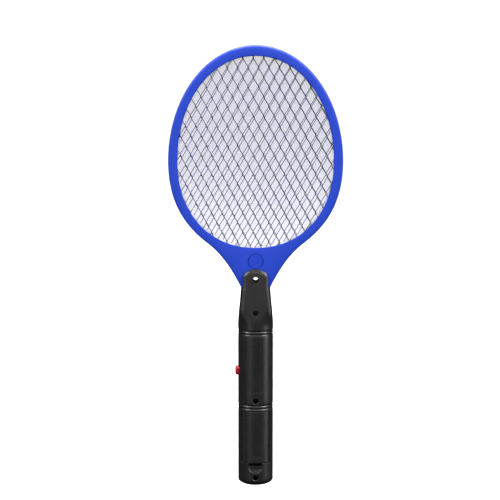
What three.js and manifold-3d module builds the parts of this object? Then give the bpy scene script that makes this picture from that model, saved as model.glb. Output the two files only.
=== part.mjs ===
// Electric fly swatter, standing upright: +Z runs from the butt of the handle to the top of the
// head, +X is across the head, and the battery door faces -Y. Lengths are in millimetres.
// Heights in this file are counted from the butt, and the last lines move the whole swatter down,
// so that the origin lies on the handle's axis in the middle of the grip.
import * as THREE from "three";
import { mergeVertices } from "three/addons/utils/BufferGeometryUtils.js";
import Module from "manifold-3d";

const wasm = await Module();
wasm.setup();

// ---- driving dimensions ----
const GRIP_HEIGHT = 100;
const GAP = 0.3;
const HALF_GAP = GAP / 2;

const HEAD = {
  top: 460,
  widest: 341,
  halfWidth: 90,
  halfDepth: 5.4,
  faceWall: 1.8,
  rimWall: 2.2,
  edgeRounding: 1.2,
};
const WAIST = { x: 50, z: 256, slopeX: 0.79, slopeZ: 0.61 };
const NECK = { halfWidth: 14.9, z: 209, slopeX: 0.45, slopeZ: 0.89 };
const TANG = { halfWidth: 11.5, bottom: 176 };
const OPENING = { halfWidth: 80.3, centre: 341, up: 109, down: 90, upPower: 2.05, downPower: 2.15 };
const ROUNDEL = { z: 236.5, outerRadius: 8.2, width: 1, depth: 0.5 };
const HANGING_HOLE = { z: 218, radius: 3, bossRadius: 4.8 };

const GRID = { overlap: 4.5, thickness: 0.8, rim: 1.4, tabBottom: 242.5 };
const OUTER_GRID_Y = 2.9;
const DIAMOND = { width: 21.3, height: 41, strand: 1, reach: 7 };
const CENTRE_GRID = { pitch: 12.6, wire: 0.6, crossPitch: 105, reach: 6 };
const SPACER = { inner: -0.8, outer: 4, near: 0.7, far: 2.2 };

const HANDLE = { wall: 2, top: 208.6, topWall: 2, butt: 7, floor: 3.5, sides: 32 };
// Half width, half depth and squareness of the handle's section at each height.
const SECTIONS = [
  { z: HANDLE.butt, halfWidth: 18.2, halfDepth: 15.5, power: 2 },
  { z: 166, halfWidth: 18.2, halfDepth: 15.5, power: 2 },
  { z: 175, halfWidth: 18.1, halfDepth: 15.2, power: 2.2 },
  { z: 183, halfWidth: 17.1, halfDepth: 14.3, power: 2.8 },
  { z: 192, halfWidth: 16.5, halfDepth: 13.3, power: 3.6 },
  { z: 202, halfWidth: 15.9, halfDepth: 12.1, power: 4.6 },
  { z: HANDLE.top, halfWidth: 15.2, halfDepth: 11.3, power: 5.2 },
];
const GROOVE = { heights: [83.2, 86.4, 161.3, 164.5], halfWidth: 0.6, depth: 0.8 };
const TONGUE = { bottom: 205, bottomHalfWidth: 13.8, archZ: 220.4, archHalfWidth: 12.7, archRise: 8.6 };
const TONGUE_FACE = { z: 205, y: 11.75, top: 229, topY: 8.776 };

const DOOR = {
  bottom: 26,
  top: 80.2,
  halfWidth: 13.95,
  bottomGap: 0.4,
  hookX: 5,
  hookTop: 83,
  latchHalfWidth: 6.8,
  latchBottom: 24.3,
};
const LATCH_SLOT = { halfWidth: 7.15, bottom: 22.9 };
const DIMPLE = { halfWidth: 7, top: 21.4, bottom: 15.2, floorY: -14.2 };

const SCREW = { headRadius: 2.6, headHeight: 1.8, shankRadius: 1.2, holeRadius: 1.6 };
const SCREW_RECESS_RADIUS = 2.85;
const BOSS_RADIUS = 4.2;
const GRIP_SCREW = { seat: -4.4, end: 8 };
const NECK_SCREW = { seat: -9.8, end: 8.6 };
const SCREW_HEIGHTS = { butt: 10.2, middle: 91.5, neck: 184.2 };

const BUTTON = { z: 121.8, halfHeight: 4.5, halfDepth: 5.5, corner: 2.4, outer: -21.2, inner: -14.4 };
const BUTTON_LIP = { x0: -15, x1: -14, halfDepth: 3.8, halfHeight: 6 };
const PLUNGER = { x0: -14, x1: -11.6 };
const SWITCH = { x0: -12.3, x1: -6.3, y0: -3.1, y1: 4.9, halfHeight: 3.1, plungerRadius: 1.6 };

const BATTERY = { radius: 7.1, x: 7.2, y: -1, length: 50.5, nubRadius: 2.75, nubHeight: 1 };
const BATTERY_Z = { upward: 26.6, downward: 24.4 };
const BULKHEAD = { lower: 18, upper: 80.7, thickness: 1.6, front: -8.8 };
const CONTACT = { thickness: 0.4, lowerZ: 19.9, upperZ: 79.9, front: -5, back: 10.4 };
const SPRING = { wire: 0.35, bigRadius: 5, smallRadius: 3, turns: 3 };
const LEAD_X = 9;
const LEAD_Y = 9.2;

const BOARD = { halfWidth: 11, front: 5.2, back: 6.8, bottom: 99, top: 170 };
const BOARD_POSTS = { x: 8, heights: [112, 164], radius: 2 };
const LED = { z: 158, radius: 1.5, flangeRadius: 1.9, tip: 15.8 };
const TRANSFORMER = { y: -0.8, z: 143, halfWidth: 8, halfHeight: 7, legHalf: 2, windowEnd: 5.6 };
const WIRE_RADIUS = 0.6;
// The wires' routes, with one point for each place where a wire is held.
const LEADS = {
  highVoltage: [
    [6, 1.5, 171], [7, 0, 178], [7.6, 0, 195], [8.2, 0, 218], [7.4, 0, 232], [6, 0, 241.6],
  ],
  ground: [
    [-6, 1.5, 171], [-7, 0, 178], [-7.6, 0, 195], [-8.2, -0.6, 218], [-7, -2, 232], [-5.4, -2.9, 241.6],
  ],
  groundBridge: [
    [-8.6, -2.9, 241.6], [-8.6, -2.2, 239], [-8.6, 0, 237.8], [-8.6, 2.2, 239], [-8.6, 2.9, 241.6],
  ],
  battery: [
    [LEAD_X, LEAD_Y, 80.8], [LEAD_X, LEAD_Y, 86], [LEAD_X, LEAD_Y, 94], [8, 8.1, 103],
  ],
};

// ---- finishes ----
const finish = (color, roughness, metalness = 0) =>
  new THREE.MeshStandardMaterial({ color, roughness, metalness });
const LOOKS = {
  blue: finish(0x2e49c6, 0.38),
  black: finish(0x2a2a2b, 0.5),
  red: finish(0xa52034, 0.35),
  steel: finish(0xa8a9ae, 0.35, 0.9),
  blackSteel: finish(0x2c2c2e, 0.4, 0.8),
  greyPlastic: finish(0xd8d8dc, 0.6),
  board: finish(0x9a7a3c, 0.6),
  ferrite: finish(0x2c2c30, 0.7),
  copper: finish(0xa8622e, 0.4, 0.7),
  film: finish(0x7a3b22, 0.4),
  ceramic: finish(0x2f6fa8, 0.5),
  epoxy: finish(0x1c1c1e, 0.5),
  resistor: finish(0xcdb58a, 0.55),
  led: finish(0xb5202a, 0.2),
  battery: finish(0x3c4650, 0.35),
  redLead: finish(0xb3262b, 0.5),
  blackLead: finish(0x202022, 0.5),
};

// ---- solids from three.js geometry ----
function solid(geometry) {
  const flat = geometry.index ? geometry.toNonIndexed() : geometry;
  const bare = new THREE.BufferGeometry();
  bare.setAttribute("position", flat.getAttribute("position"));
  const merged = mergeVertices(bare, 1e-4);
  const corners = merged.index.array;
  const kept = [];
  for (let i = 0; i < corners.length; i += 3) {
    const [a, b, c] = corners.slice(i, i + 3);
    if (a !== b && b !== c && c !== a) {
      kept.push(a, b, c);
    }
  }
  return new wasm.Manifold(
    new wasm.Mesh({
      numProp: 3,
      vertProperties: merged.attributes.position.array,
      triVerts: new Uint32Array(kept),
    }),
  );
}

function geometryOf(body) {
  const mesh = body.getMesh();
  const geometry = new THREE.BufferGeometry();
  geometry.setAttribute("position", new THREE.BufferAttribute(mesh.vertProperties, 3));
  geometry.setIndex(new THREE.BufferAttribute(mesh.triVerts, 1));
  geometry.computeVertexNormals();
  return geometry;
}

const join = (...bodies) => bodies.reduce((whole, body) => whole.add(body));

function box(x0, x1, y0, y1, z0, z1) {
  const geometry = new THREE.BoxGeometry(x1 - x0, y1 - y0, z1 - z0);
  return solid(geometry.translate((x0 + x1) / 2, (y0 + y1) / 2, (z0 + z1) / 2));
}

function rodAlongY(x, z, radius, y0, y1, sides = 16) {
  const geometry = new THREE.CylinderGeometry(radius, radius, y1 - y0, sides);
  return solid(geometry.translate(x, (y0 + y1) / 2, z));
}

function rodAlongX(y, z, radius, x0, x1, sides = 12) {
  const geometry = new THREE.CylinderGeometry(radius, radius, x1 - x0, sides);
  return solid(geometry.rotateZ(Math.PI / 2).translate((x0 + x1) / 2, y, z));
}

function rodAlongZ(x, y, radius, z0, z1, sides = 12) {
  const geometry = new THREE.CylinderGeometry(radius, radius, z1 - z0, sides);
  return solid(geometry.rotateX(Math.PI / 2).translate(x, y, (z0 + z1) / 2));
}

// An outline drawn in X and Z, given a thickness from y0 to y1, with rounded edges if asked.
function slab(outline, y0, y1, hole = null, rounding = 0) {
  const shape = new THREE.Shape(outline);
  if (hole) {
    shape.holes.push(new THREE.Path(hole));
  }
  const geometry = new THREE.ExtrudeGeometry(shape, {
    depth: y1 - y0 - 2 * rounding,
    bevelEnabled: rounding > 0,
    bevelThickness: rounding,
    bevelSize: rounding,
    bevelOffset: -rounding,
    bevelSegments: 1,
  });
  return solid(geometry.rotateX(Math.PI / 2).translate(0, y1 - rounding, 0));
}

function wire(points, radius, stepsPerSpan = 3, sides = 6) {
  const path = new THREE.CatmullRomCurve3(points.map((p) => new THREE.Vector3(...p)));
  return tube(path, radius, (points.length - 1) * stepsPerSpan, sides);
}

function tube(path, radius, steps, sides) {
  const section = [];
  for (let i = 0; i < sides; i += 1) {
    const angle = (2 * Math.PI * i) / sides;
    section.push(new THREE.Vector2(radius * Math.cos(angle), radius * Math.sin(angle)));
  }
  const settings = { steps, bevelEnabled: false, extrudePath: path };
  return solid(new THREE.ExtrudeGeometry(new THREE.Shape(section), settings));
}

// ---- outlines of the head ----
function headOutline(inset) {
  const neckEnd = new THREE.Vector2(NECK.halfWidth, NECK.z);
  const waist = new THREE.Vector2(WAIST.x, WAIST.z);
  const neckPull = new THREE.Vector2(NECK.halfWidth + 18 * NECK.slopeX, NECK.z + 18 * NECK.slopeZ);
  const waistLow = new THREE.Vector2(WAIST.x - 22 * WAIST.slopeX, WAIST.z - 22 * WAIST.slopeZ);
  const waistHigh = new THREE.Vector2(WAIST.x + 30 * WAIST.slopeX, WAIST.z + 30 * WAIST.slopeZ);
  const sideLow = new THREE.Vector2(HEAD.halfWidth, HEAD.widest - 42);
  const side = new THREE.Vector2(HEAD.halfWidth, HEAD.widest);
  const rise = HEAD.top - HEAD.widest;
  const crown = new THREE.EllipseCurve(0, HEAD.widest, HEAD.halfWidth, rise, 0, Math.PI / 2);
  const right = [
    new THREE.Vector2(TANG.halfWidth, TANG.bottom),
    new THREE.Vector2(TANG.halfWidth, NECK.z),
    ...new THREE.CubicBezierCurve(neckEnd, neckPull, waistLow, waist).getPoints(8),
    ...new THREE.CubicBezierCurve(waist, waistHigh, sideLow, side).getPoints(10).slice(1),
    ...crown.getPoints(14).slice(1),
  ];
  const left = right.slice(0, -1).map((p) => new THREE.Vector2(-p.x, p.y));
  return insetBy([...right, ...left.reverse()], inset);
}

// Moves every side of an anticlockwise outline inwards by the same distance.
function insetBy(points, distance) {
  const inward = (from, to) => {
    const along = to.clone().sub(from).normalize();
    return new THREE.Vector2(-along.y, along.x);
  };
  return points.map((point, i) => {
    const before = inward(points.at(i - 1), point);
    const after = inward(point, points[(i + 1) % points.length]);
    const mitre = distance / (1 + before.dot(after));
    return before.add(after).multiplyScalar(mitre).add(point);
  });
}

// The head's opening, or the same curve moved outwards by grow.
function openingOutline(grow = 0, count = 44) {
  const points = [];
  for (let i = 0; i < count; i += 1) {
    const angle = (2 * Math.PI * i) / count;
    const c = Math.cos(angle);
    const s = Math.sin(angle);
    const power = s > 0 ? OPENING.upPower : OPENING.downPower;
    const reach = (s > 0 ? OPENING.up : OPENING.down) + grow;
    const x = (OPENING.halfWidth + grow) * Math.sign(c) * Math.abs(c) ** (2 / power);
    const z = OPENING.centre + reach * Math.sign(s) * Math.abs(s) ** (2 / power);
    points.push(new THREE.Vector2(x, z));
  }
  return points;
}

// ---- the head ----
function headFrames() {
  const depth = HEAD.halfDepth;
  const inner = depth - HEAD.faceWall;
  const opening = openingOutline(0, 64);
  const whole = slab(headOutline(0), -depth, depth, opening, HEAD.edgeRounding);
  const tangWidth = TANG.halfWidth - HEAD.rimWall;
  const hollow = slab(headOutline(HEAD.rimWall), -inner, inner).add(
    box(-tangWidth, tangWidth, -inner, inner, TANG.bottom - 1, TANG.bottom + 5),
  );
  const boss = rodAlongY(0, HANGING_HOLE.z, HANGING_HOLE.bossRadius, -depth + 0.5, depth - 0.5, 20);
  const body = whole
    .subtract(hollow)
    .add(boss)
    .subtract(rodAlongY(0, HANGING_HOLE.z, HANGING_HOLE.radius, -depth - 1, depth + 1, 20))
    .subtract(rodAlongY(0, SCREW_HEIGHTS.neck, 1.8, -depth - 1, depth + 1));
  const frontHalf = box(-100, 100, -20, -HALF_GAP, 150, 470);
  const rearHalf = box(-100, 100, HALF_GAP, 20, 150, 470);
  return {
    front: body.intersect(frontHalf).subtract(roundelGroove()),
    rear: body.intersect(rearHalf),
  };
}

function roundelGroove() {
  const front = -HEAD.halfDepth - 1;
  const floor = -HEAD.halfDepth + ROUNDEL.depth;
  const inner = ROUNDEL.outerRadius - ROUNDEL.width;
  return rodAlongY(0, ROUNDEL.z, ROUNDEL.outerRadius, front, floor, 28).subtract(
    rodAlongY(0, ROUNDEL.z, inner, front - 1, floor + 1, 28),
  );
}

function gridRim(y0, y1) {
  return slab(openingOutline(GRID.overlap), y0, y1, openingOutline(GRID.overlap - GRID.rim));
}

function strands(y, slope, shift) {
  const angle = slope * Math.atan2(DIAMOND.height, DIAMOND.width);
  const bars = [];
  for (let i = -DIAMOND.reach; i <= DIAMOND.reach; i += 1) {
    const bar = new THREE.BoxGeometry(300, GRID.thickness, DIAMOND.strand);
    bar.rotateY(-angle);
    bar.translate(i * DIAMOND.width + shift, y, OPENING.centre);
    bars.push(solid(bar));
  }
  return join(...bars);
}

// What still hangs together after the trimming: loose corners of the lattice fall away.
function largestPiece(body) {
  return body.decompose().reduce((best, next) => (next.volume() > best.volume() ? next : best));
}

function outerGrid(y, shift) {
  const y0 = y - GRID.thickness / 2;
  const y1 = y + GRID.thickness / 2;
  const lattice = strands(y, 1, shift).add(strands(y, -1, shift));
  const tab = box(-10, -4, y0, y1, GRID.tabBottom, OPENING.centre - OPENING.down - 1);
  const trimmed = lattice.intersect(slab(openingOutline(GRID.overlap, 32), y0, y1));
  return largestPiece(trimmed.add(tab));
}

function centreGrid() {
  const y0 = -GRID.thickness / 2;
  const y1 = GRID.thickness / 2;
  const half = CENTRE_GRID.wire / 2;
  const wires = [];
  for (let i = -CENTRE_GRID.reach; i <= CENTRE_GRID.reach; i += 1) {
    const x = i * CENTRE_GRID.pitch;
    wires.push(box(x - half, x + half, y0, y1, 200, 470));
  }
  for (const step of [-0.5, 0.5]) {
    const z = OPENING.centre + step * CENTRE_GRID.crossPitch;
    wires.push(box(-100, 100, y0, y1, z - half, z + half));
  }
  const tab = box(3, 9, y0, y1, GRID.tabBottom, OPENING.centre - OPENING.down - GRID.overlap + 1);
  const mesh = join(...wires).intersect(slab(openingOutline(GRID.overlap), y0, y1));
  return mesh.add(gridRim(y0, y1)).add(tab);
}

function gridSpacer(y0, y1) {
  return slab(openingOutline(SPACER.outer), y0, y1, openingOutline(SPACER.inner));
}

// ---- the handle ----
function sectionAt(z) {
  const above = Math.max(1, SECTIONS.findIndex((s) => s.z >= z - 0.01));
  const high = SECTIONS[above];
  const low = SECTIONS[above - 1];
  const t = THREE.MathUtils.clamp((z - low.z) / (high.z - low.z), 0, 1);
  const mix = (key) => THREE.MathUtils.lerp(low[key], high[key], t);
  return { halfWidth: mix("halfWidth"), halfDepth: mix("halfDepth"), power: mix("power") };
}

function buttScale(z) {
  const fromRim = Math.max(0, (HANDLE.butt - z) / HANDLE.butt);
  return Math.sqrt(1 - fromRim ** 2);
}

// The handle's skin, moved inwards by inset, between the first and the last of the levels.
function handleBody(levels, inset) {
  const profile = [new THREE.Vector2(0, levels[0])];
  for (const z of levels) {
    profile.push(new THREE.Vector2(1, z));
  }
  profile.push(new THREE.Vector2(0, levels.at(-1)));
  const geometry = new THREE.LatheGeometry(profile, HANDLE.sides).rotateX(Math.PI / 2);
  const corners = geometry.getAttribute("position");
  for (let i = 0; i < corners.count; i += 1) {
    const z = corners.getZ(i);
    const section = sectionAt(z);
    const inGroove = inset === 0 && GROOVE.heights.some((height) => Math.abs(z - height) < 0.01);
    const shrink = inset + (inGroove ? GROOVE.depth : 0);
    const stretch = (value, half) =>
      Math.sign(value) * Math.abs(value) ** (2 / section.power) * (half * buttScale(z) - shrink);
    corners.setX(i, stretch(corners.getX(i), section.halfWidth));
    corners.setY(i, stretch(corners.getY(i), section.halfDepth));
  }
  return solid(geometry);
}

function outerHandle() {
  const dome = [0, 0.4, 1.2, 2.6, 4.6];
  const grooves = GROOVE.heights.flatMap((z) => [z - GROOVE.halfWidth, z, z + GROOVE.halfWidth]);
  const levels = [...dome, ...grooves, ...SECTIONS.map((section) => section.z)];
  return handleBody(levels.sort((a, b) => a - b), 0);
}

function innerHandle(inset) {
  const heights = SECTIONS.map((section) => section.z).slice(0, -1);
  return handleBody([HANDLE.floor, ...heights, HANDLE.top - HANDLE.topWall], inset);
}

// The flat tongues that reach up over both faces of the neck.
function tongues() {
  const arch = new THREE.EllipseCurve(
    0, TONGUE.archZ, TONGUE.archHalfWidth, TONGUE.archRise, 0, Math.PI,
  );
  const outline = [
    new THREE.Vector2(-TONGUE.bottomHalfWidth, TONGUE.bottom),
    new THREE.Vector2(TONGUE.bottomHalfWidth, TONGUE.bottom),
    ...arch.getPoints(16),
  ];
  const faces = new THREE.Shape([
    new THREE.Vector2(-TONGUE_FACE.y, TONGUE_FACE.z),
    new THREE.Vector2(TONGUE_FACE.y, TONGUE_FACE.z),
    new THREE.Vector2(TONGUE_FACE.topY, TONGUE_FACE.top),
    new THREE.Vector2(-TONGUE_FACE.topY, TONGUE_FACE.top),
  ]);
  const wedge = new THREE.ExtrudeGeometry(faces, { depth: 40, bevelEnabled: false });
  wedge.rotateX(Math.PI / 2).rotateZ(Math.PI / 2).translate(-20, 0, 0);
  return slab(outline, -20, 20).intersect(solid(wedge));
}

function screwBosses(side) {
  const near = side < 0 ? -17 : HALF_GAP;
  const far = side < 0 ? -HALF_GAP : 17;
  const neckInner = HEAD.halfDepth + GAP;
  const neckNear = side < 0 ? -17 : neckInner;
  const neckFar = side < 0 ? -neckInner : 17;
  return join(
    rodAlongY(0, SCREW_HEIGHTS.butt, BOSS_RADIUS, near, far),
    rodAlongY(0, SCREW_HEIGHTS.middle, BOSS_RADIUS, near, far),
    rodAlongY(0, SCREW_HEIGHTS.neck, BOSS_RADIUS, neckNear, neckFar),
  );
}

function screwHoles() {
  const holes = [];
  for (const [place, z] of Object.entries(SCREW_HEIGHTS)) {
    const screw = place === "neck" ? NECK_SCREW : GRIP_SCREW;
    const tip = screw.end + GAP;
    holes.push(rodAlongY(0, z, SCREW_RECESS_RADIUS, -20, screw.seat + GAP));
    holes.push(rodAlongY(0, z, SCREW.holeRadius, screw.seat, tip));
  }
  return join(...holes);
}

function handleHalves() {
  const skin = outerHandle();
  const tangSlot = box(
    -TANG.halfWidth - GAP, TANG.halfWidth + GAP,
    -HEAD.halfDepth - GAP, HEAD.halfDepth + GAP,
    TANG.bottom - 2, HANDLE.top + 1,
  );
  const neckSlot = box(-30, 30, -HEAD.halfDepth - GAP, HEAD.halfDepth + GAP, HANDLE.top, 240);
  const hanging = rodAlongY(0, HANGING_HOLE.z, HANGING_HOLE.radius, -20, 20, 20);
  const shell = skin.subtract(innerHandle(HANDLE.wall)).add(tongues());
  const half = (side) => {
    const keep = side < 0
      ? box(-30, 30, -30, -HALF_GAP, -1, 240)
      : box(-30, 30, HALF_GAP, 30, -1, 240);
    return shell
      .intersect(keep)
      .add(screwBosses(side).intersect(skin))
      .subtract(tangSlot)
      .subtract(neckSlot)
      .subtract(hanging)
      .subtract(screwHoles())
      .subtract(buttonHole());
  };
  return { front: half(-1), rear: half(1) };
}

function buttonHole() {
  return box(
    -30, -12,
    -BUTTON.halfDepth - GAP, BUTTON.halfDepth + GAP,
    BUTTON.z - BUTTON.halfHeight - GAP, BUTTON.z + BUTTON.halfHeight + GAP,
  );
}

function dimple() {
  const drop = DIMPLE.top - DIMPLE.bottom;
  const bow = new THREE.EllipseCurve(0, DIMPLE.top, DIMPLE.halfWidth, drop, Math.PI, 2 * Math.PI);
  return slab(bow.getPoints(12), -20, DIMPLE.floorY);
}

function frontShell(half) {
  const windowHalf = DOOR.halfWidth + GAP;
  return half
    .subtract(box(-windowHalf, windowHalf, -20, -5, DOOR.bottom - DOOR.bottomGap, DOOR.top + GAP))
    .subtract(box(
      -LATCH_SLOT.halfWidth, LATCH_SLOT.halfWidth,
      -20, -10,
      LATCH_SLOT.bottom, DOOR.bottom,
    ))
    .subtract(dimple());
}

function bulkhead(z) {
  const fill = box(-20, 20, BULKHEAD.front, 20, z, z + BULKHEAD.thickness);
  return fill.intersect(innerHandle(HANDLE.wall + GAP).add(
    box(-20, 20, 1, 20, z, z + BULKHEAD.thickness).intersect(innerHandle(HANDLE.wall - 0.5)),
  ));
}

function rearShell(half) {
  const posts = [];
  for (const z of BOARD_POSTS.heights) {
    for (const side of [-1, 1]) {
      posts.push(rodAlongY(side * BOARD_POSTS.x, z, BOARD_POSTS.radius, BOARD.back + GAP, 17, 10));
    }
  }
  const leadHoles = join(
    rodAlongZ(-LEAD_X, LEAD_Y, 1.3, BULKHEAD.upper - 1, BULKHEAD.upper + 3),
    rodAlongZ(LEAD_X, LEAD_Y, 1.3, BULKHEAD.upper - 1, BULKHEAD.upper + 3),
  );
  return half
    .add(join(...posts).intersect(innerHandle(HANDLE.wall - 0.5)))
    .add(bulkhead(BULKHEAD.lower))
    .add(bulkhead(BULKHEAD.upper).subtract(leadHoles))
    .subtract(rodAlongY(0, LED.z, LED.radius + GAP, 10, 20, 12));
}

function batteryDoor() {
  const panel = outerHandle()
    .subtract(innerHandle(HANDLE.wall))
    .intersect(box(-DOOR.halfWidth, DOOR.halfWidth, -20, -3, DOOR.bottom, DOOR.top));
  const hooks = [-1, 1].map((side) => {
    const x = side * DOOR.hookX;
    const root = box(x - 2, x + 2, -14, -10.2, 77, DOOR.top - 0.4);
    return root.add(box(x - 2, x + 2, -11.7, -10.2, 77, DOOR.hookTop));
  });
  const latch = box(
    -DOOR.latchHalfWidth, DOOR.latchHalfWidth, -13.9, -12.4, DOOR.latchBottom, DOOR.bottom + 3,
  );
  return join(panel, ...hooks, latch);
}

function screw(z, seat, end) {
  const top = seat - SCREW.headHeight;
  const slot = join(
    box(-1.4, 1.4, top - 1, top + 0.9, z - 0.35, z + 0.35),
    box(-0.35, 0.35, top - 1, top + 0.9, z - 1.4, z + 1.4),
  );
  const head = rodAlongY(0, z, SCREW.headRadius, top, seat, 16).subtract(slot);
  const tip = new THREE.CylinderGeometry(0.3, SCREW.shankRadius, 1.5, 10);
  const shank = rodAlongY(0, z, SCREW.shankRadius, seat - 0.5, end - 1.5, 10);
  return join(head, shank, solid(tip.translate(0, end - 0.75, z)));
}

// ---- button and switch ----
function roundedPlate(halfY, halfZ, corner, x0, x1, bevel) {
  const shape = new THREE.Shape();
  const arcs = [
    [halfY - corner, -halfZ + corner, -Math.PI / 2, 0],
    [halfY - corner, halfZ - corner, 0, Math.PI / 2],
    [-halfY + corner, halfZ - corner, Math.PI / 2, Math.PI],
    [-halfY + corner, -halfZ + corner, Math.PI, 1.5 * Math.PI],
  ];
  for (const [y, z, from, to] of arcs) {
    shape.absarc(y, z, corner, from, to, false);
  }
  const geometry = new THREE.ExtrudeGeometry(shape, {
    depth: x1 - x0 - 2 * bevel,
    curveSegments: 3,
    bevelThickness: bevel,
    bevelSize: bevel,
    bevelOffset: -bevel,
    bevelSegments: 1,
  });
  geometry.translate(0, 0, x0 + bevel);
  return geometry.rotateX(Math.PI / 2).rotateZ(Math.PI / 2);
}

function pushButton() {
  const { halfDepth, halfHeight, corner, outer, inner, z } = BUTTON;
  const cap = roundedPlate(halfDepth, halfHeight, corner, outer, inner, 0.9).translate(0, 0, z);
  const lip = box(
    BUTTON_LIP.x0, BUTTON_LIP.x1,
    -BUTTON_LIP.halfDepth, BUTTON_LIP.halfDepth,
    z - BUTTON_LIP.halfHeight, z + BUTTON_LIP.halfHeight,
  );
  return solid(cap).add(lip);
}

function switchBody() {
  const { x0, x1, y0, y1, halfHeight, plungerRadius } = SWITCH;
  const body = box(x0, x1, y0, y1, BUTTON.z - halfHeight, BUTTON.z + halfHeight);
  return body.subtract(rodAlongX(0, BUTTON.z, plungerRadius + GAP, x0 - 1, x0 + 2.4));
}

// ---- power ----
const insideHandle = (body) => body.intersect(innerHandle(HANDLE.wall + GAP));

function battery(side, upward) {
  const { radius, length, nubRadius, nubHeight } = BATTERY;
  const profile = [
    new THREE.Vector2(0, 0),
    new THREE.Vector2(radius, 0),
    new THREE.Vector2(radius, length - nubHeight),
    new THREE.Vector2(nubRadius, length - nubHeight),
    new THREE.Vector2(nubRadius, length),
    new THREE.Vector2(0, length),
  ];
  const geometry = new THREE.LatheGeometry(profile, 20).rotateX(Math.PI / 2);
  if (!upward) {
    geometry.rotateX(Math.PI).translate(0, 0, length);
  }
  const bottom = upward ? BATTERY_Z.upward : BATTERY_Z.downward;
  return solid(geometry.translate(side * BATTERY.x, BATTERY.y, bottom));
}

function contactLink() {
  const { lowerZ, thickness, front } = CONTACT;
  const plate = insideHandle(box(-13, 13, front, 3, lowerZ, lowerZ + thickness));
  const bump = rodAlongZ(BATTERY.x, BATTERY.y, 3, lowerZ, BATTERY_Z.downward - GAP, 14);
  return plate.add(bump);
}

function upperContact(side) {
  const { upperZ, thickness, front, back } = CONTACT;
  const near = side < 0 ? -13 : 1.5;
  return insideHandle(box(near, near + 11.5, front, back, upperZ, upperZ + thickness));
}

function contactPositive() {
  const top = BATTERY_Z.upward + BATTERY.length + GAP;
  const bump = rodAlongZ(-BATTERY.x, BATTERY.y, 3, top, CONTACT.upperZ + CONTACT.thickness, 14);
  return upperContact(-1).add(bump);
}

class ConeSpring extends THREE.Curve {
  constructor(x, y, z0, z1) {
    super();
    Object.assign(this, { x, y, z0, z1 });
  }
  getPoint(t, target = new THREE.Vector3()) {
    const angle = 2 * Math.PI * SPRING.turns * t;
    const radius = THREE.MathUtils.lerp(SPRING.bigRadius, SPRING.smallRadius, t);
    const x = this.x + radius * Math.cos(angle);
    const y = this.y + radius * Math.sin(angle);
    return target.set(x, y, THREE.MathUtils.lerp(this.z0, this.z1, t));
  }
}

function coneSpring(side, plateZ, cellZ) {
  const towards = Math.sign(cellZ - plateZ);
  const z0 = plateZ + towards * (SPRING.wire + GAP);
  const z1 = cellZ - towards * (SPRING.wire + GAP);
  const path = new ConeSpring(side * BATTERY.x, BATTERY.y, z0, z1);
  return tube(path, SPRING.wire, SPRING.turns * 8, 5);
}

// ---- the circuit ----
function circuitBoard() {
  const { halfWidth, front, back, bottom, top } = BOARD;
  return box(-halfWidth, halfWidth, front, back, bottom, top);
}

function transformerCore() {
  const { y, z, halfWidth, halfHeight, legHalf, windowEnd } = TRANSFORMER;
  const windows = [-1, 1].map((side) => {
    const near = side * (side < 0 ? windowEnd : legHalf);
    const far = side * (side < 0 ? legHalf : windowEnd);
    return box(near, far, y - 5, y + 5, z - 4.6, z + 4.6);
  });
  return windows.reduce(
    (core, gap) => core.subtract(gap),
    box(-halfWidth, halfWidth, y - 2.5, y + 2.5, z - halfHeight, z + halfHeight),
  );
}

function transformerWinding() {
  const { y, z, legHalf, windowEnd } = TRANSFORMER;
  const outer = windowEnd - GAP;
  const block = box(-outer, outer, y - 5.5, y + 5.5, z - 4.3, z + 4.3);
  const leg = legHalf + GAP;
  return block.subtract(box(-leg, leg, y - 2.8, y + 2.8, z - 6, z + 6));
}

function legs(places, y0, radius = 0.3) {
  const end = BOARD.front - 0.1;
  return places.map(([x, z]) => rodAlongY(x, z, radius, y0, end, 5));
}

function storageCapacitor() {
  const body = roundedPlate(3.7, 5.5, 1.6, -2, 10.5, 0.8).translate(0, 0.8, 115.5);
  return join(solid(body), ...legs([[1, 115.5], [7.5, 115.5]], 4));
}

function discCapacitor(x, z) {
  const disc = rodAlongX(0.4, z, 3.5, x - 1.4, x + 1.4, 16);
  return join(disc, ...legs([[x, z - 2], [x, z + 2]], 2));
}

function axialPart(x, z, radius, length, y = 3) {
  const half = length / 2;
  const barrel = rodAlongX(y, z, radius, x - half, x + half, 10);
  const span = rodAlongX(y, z, 0.3, x - half - 1.5, x + half + 1.5, 5);
  return join(barrel, span, ...legs([[x - half - 1.3, z], [x + half + 1.3, z]], y - 0.2));
}

function transistor() {
  const can = rodAlongY(5, 129, 2.4, -1.5, 3, 16).subtract(box(2, 8, -5, 5, 126, 127.6));
  return join(can, ...legs([[3.7, 129], [5, 129], [6.3, 129]], 2.5));
}

function indicatorLed() {
  const flange = rodAlongY(0, LED.z, LED.flangeRadius, 9.2, 10.2, 10);
  const lens = rodAlongY(0, LED.z, LED.radius, 10, LED.tip - LED.radius, 10);
  const dome = new THREE.SphereGeometry(LED.radius, 10, 6).translate(0, LED.tip - LED.radius, LED.z);
  const pins = [-0.9, 0.9].map((x) => rodAlongY(x, LED.z, 0.25, BOARD.back + 0.1, 9.5, 6));
  return join(flange, lens, solid(dome), ...pins);
}

// ---- wires inside the neck and the handle ----
function batteryLead(side) {
  return wire(LEADS.battery.map(([x, y, z]) => [side * x, y, z]), WIRE_RADIUS);
}

// ---- assembly ----
const swatter = new THREE.Group();
swatter.position.z = -GRIP_HEIGHT;

function place(name, body, look) {
  const mesh = new THREE.Mesh(geometryOf(body), look);
  mesh.name = name;
  swatter.add(mesh);
}

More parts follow.
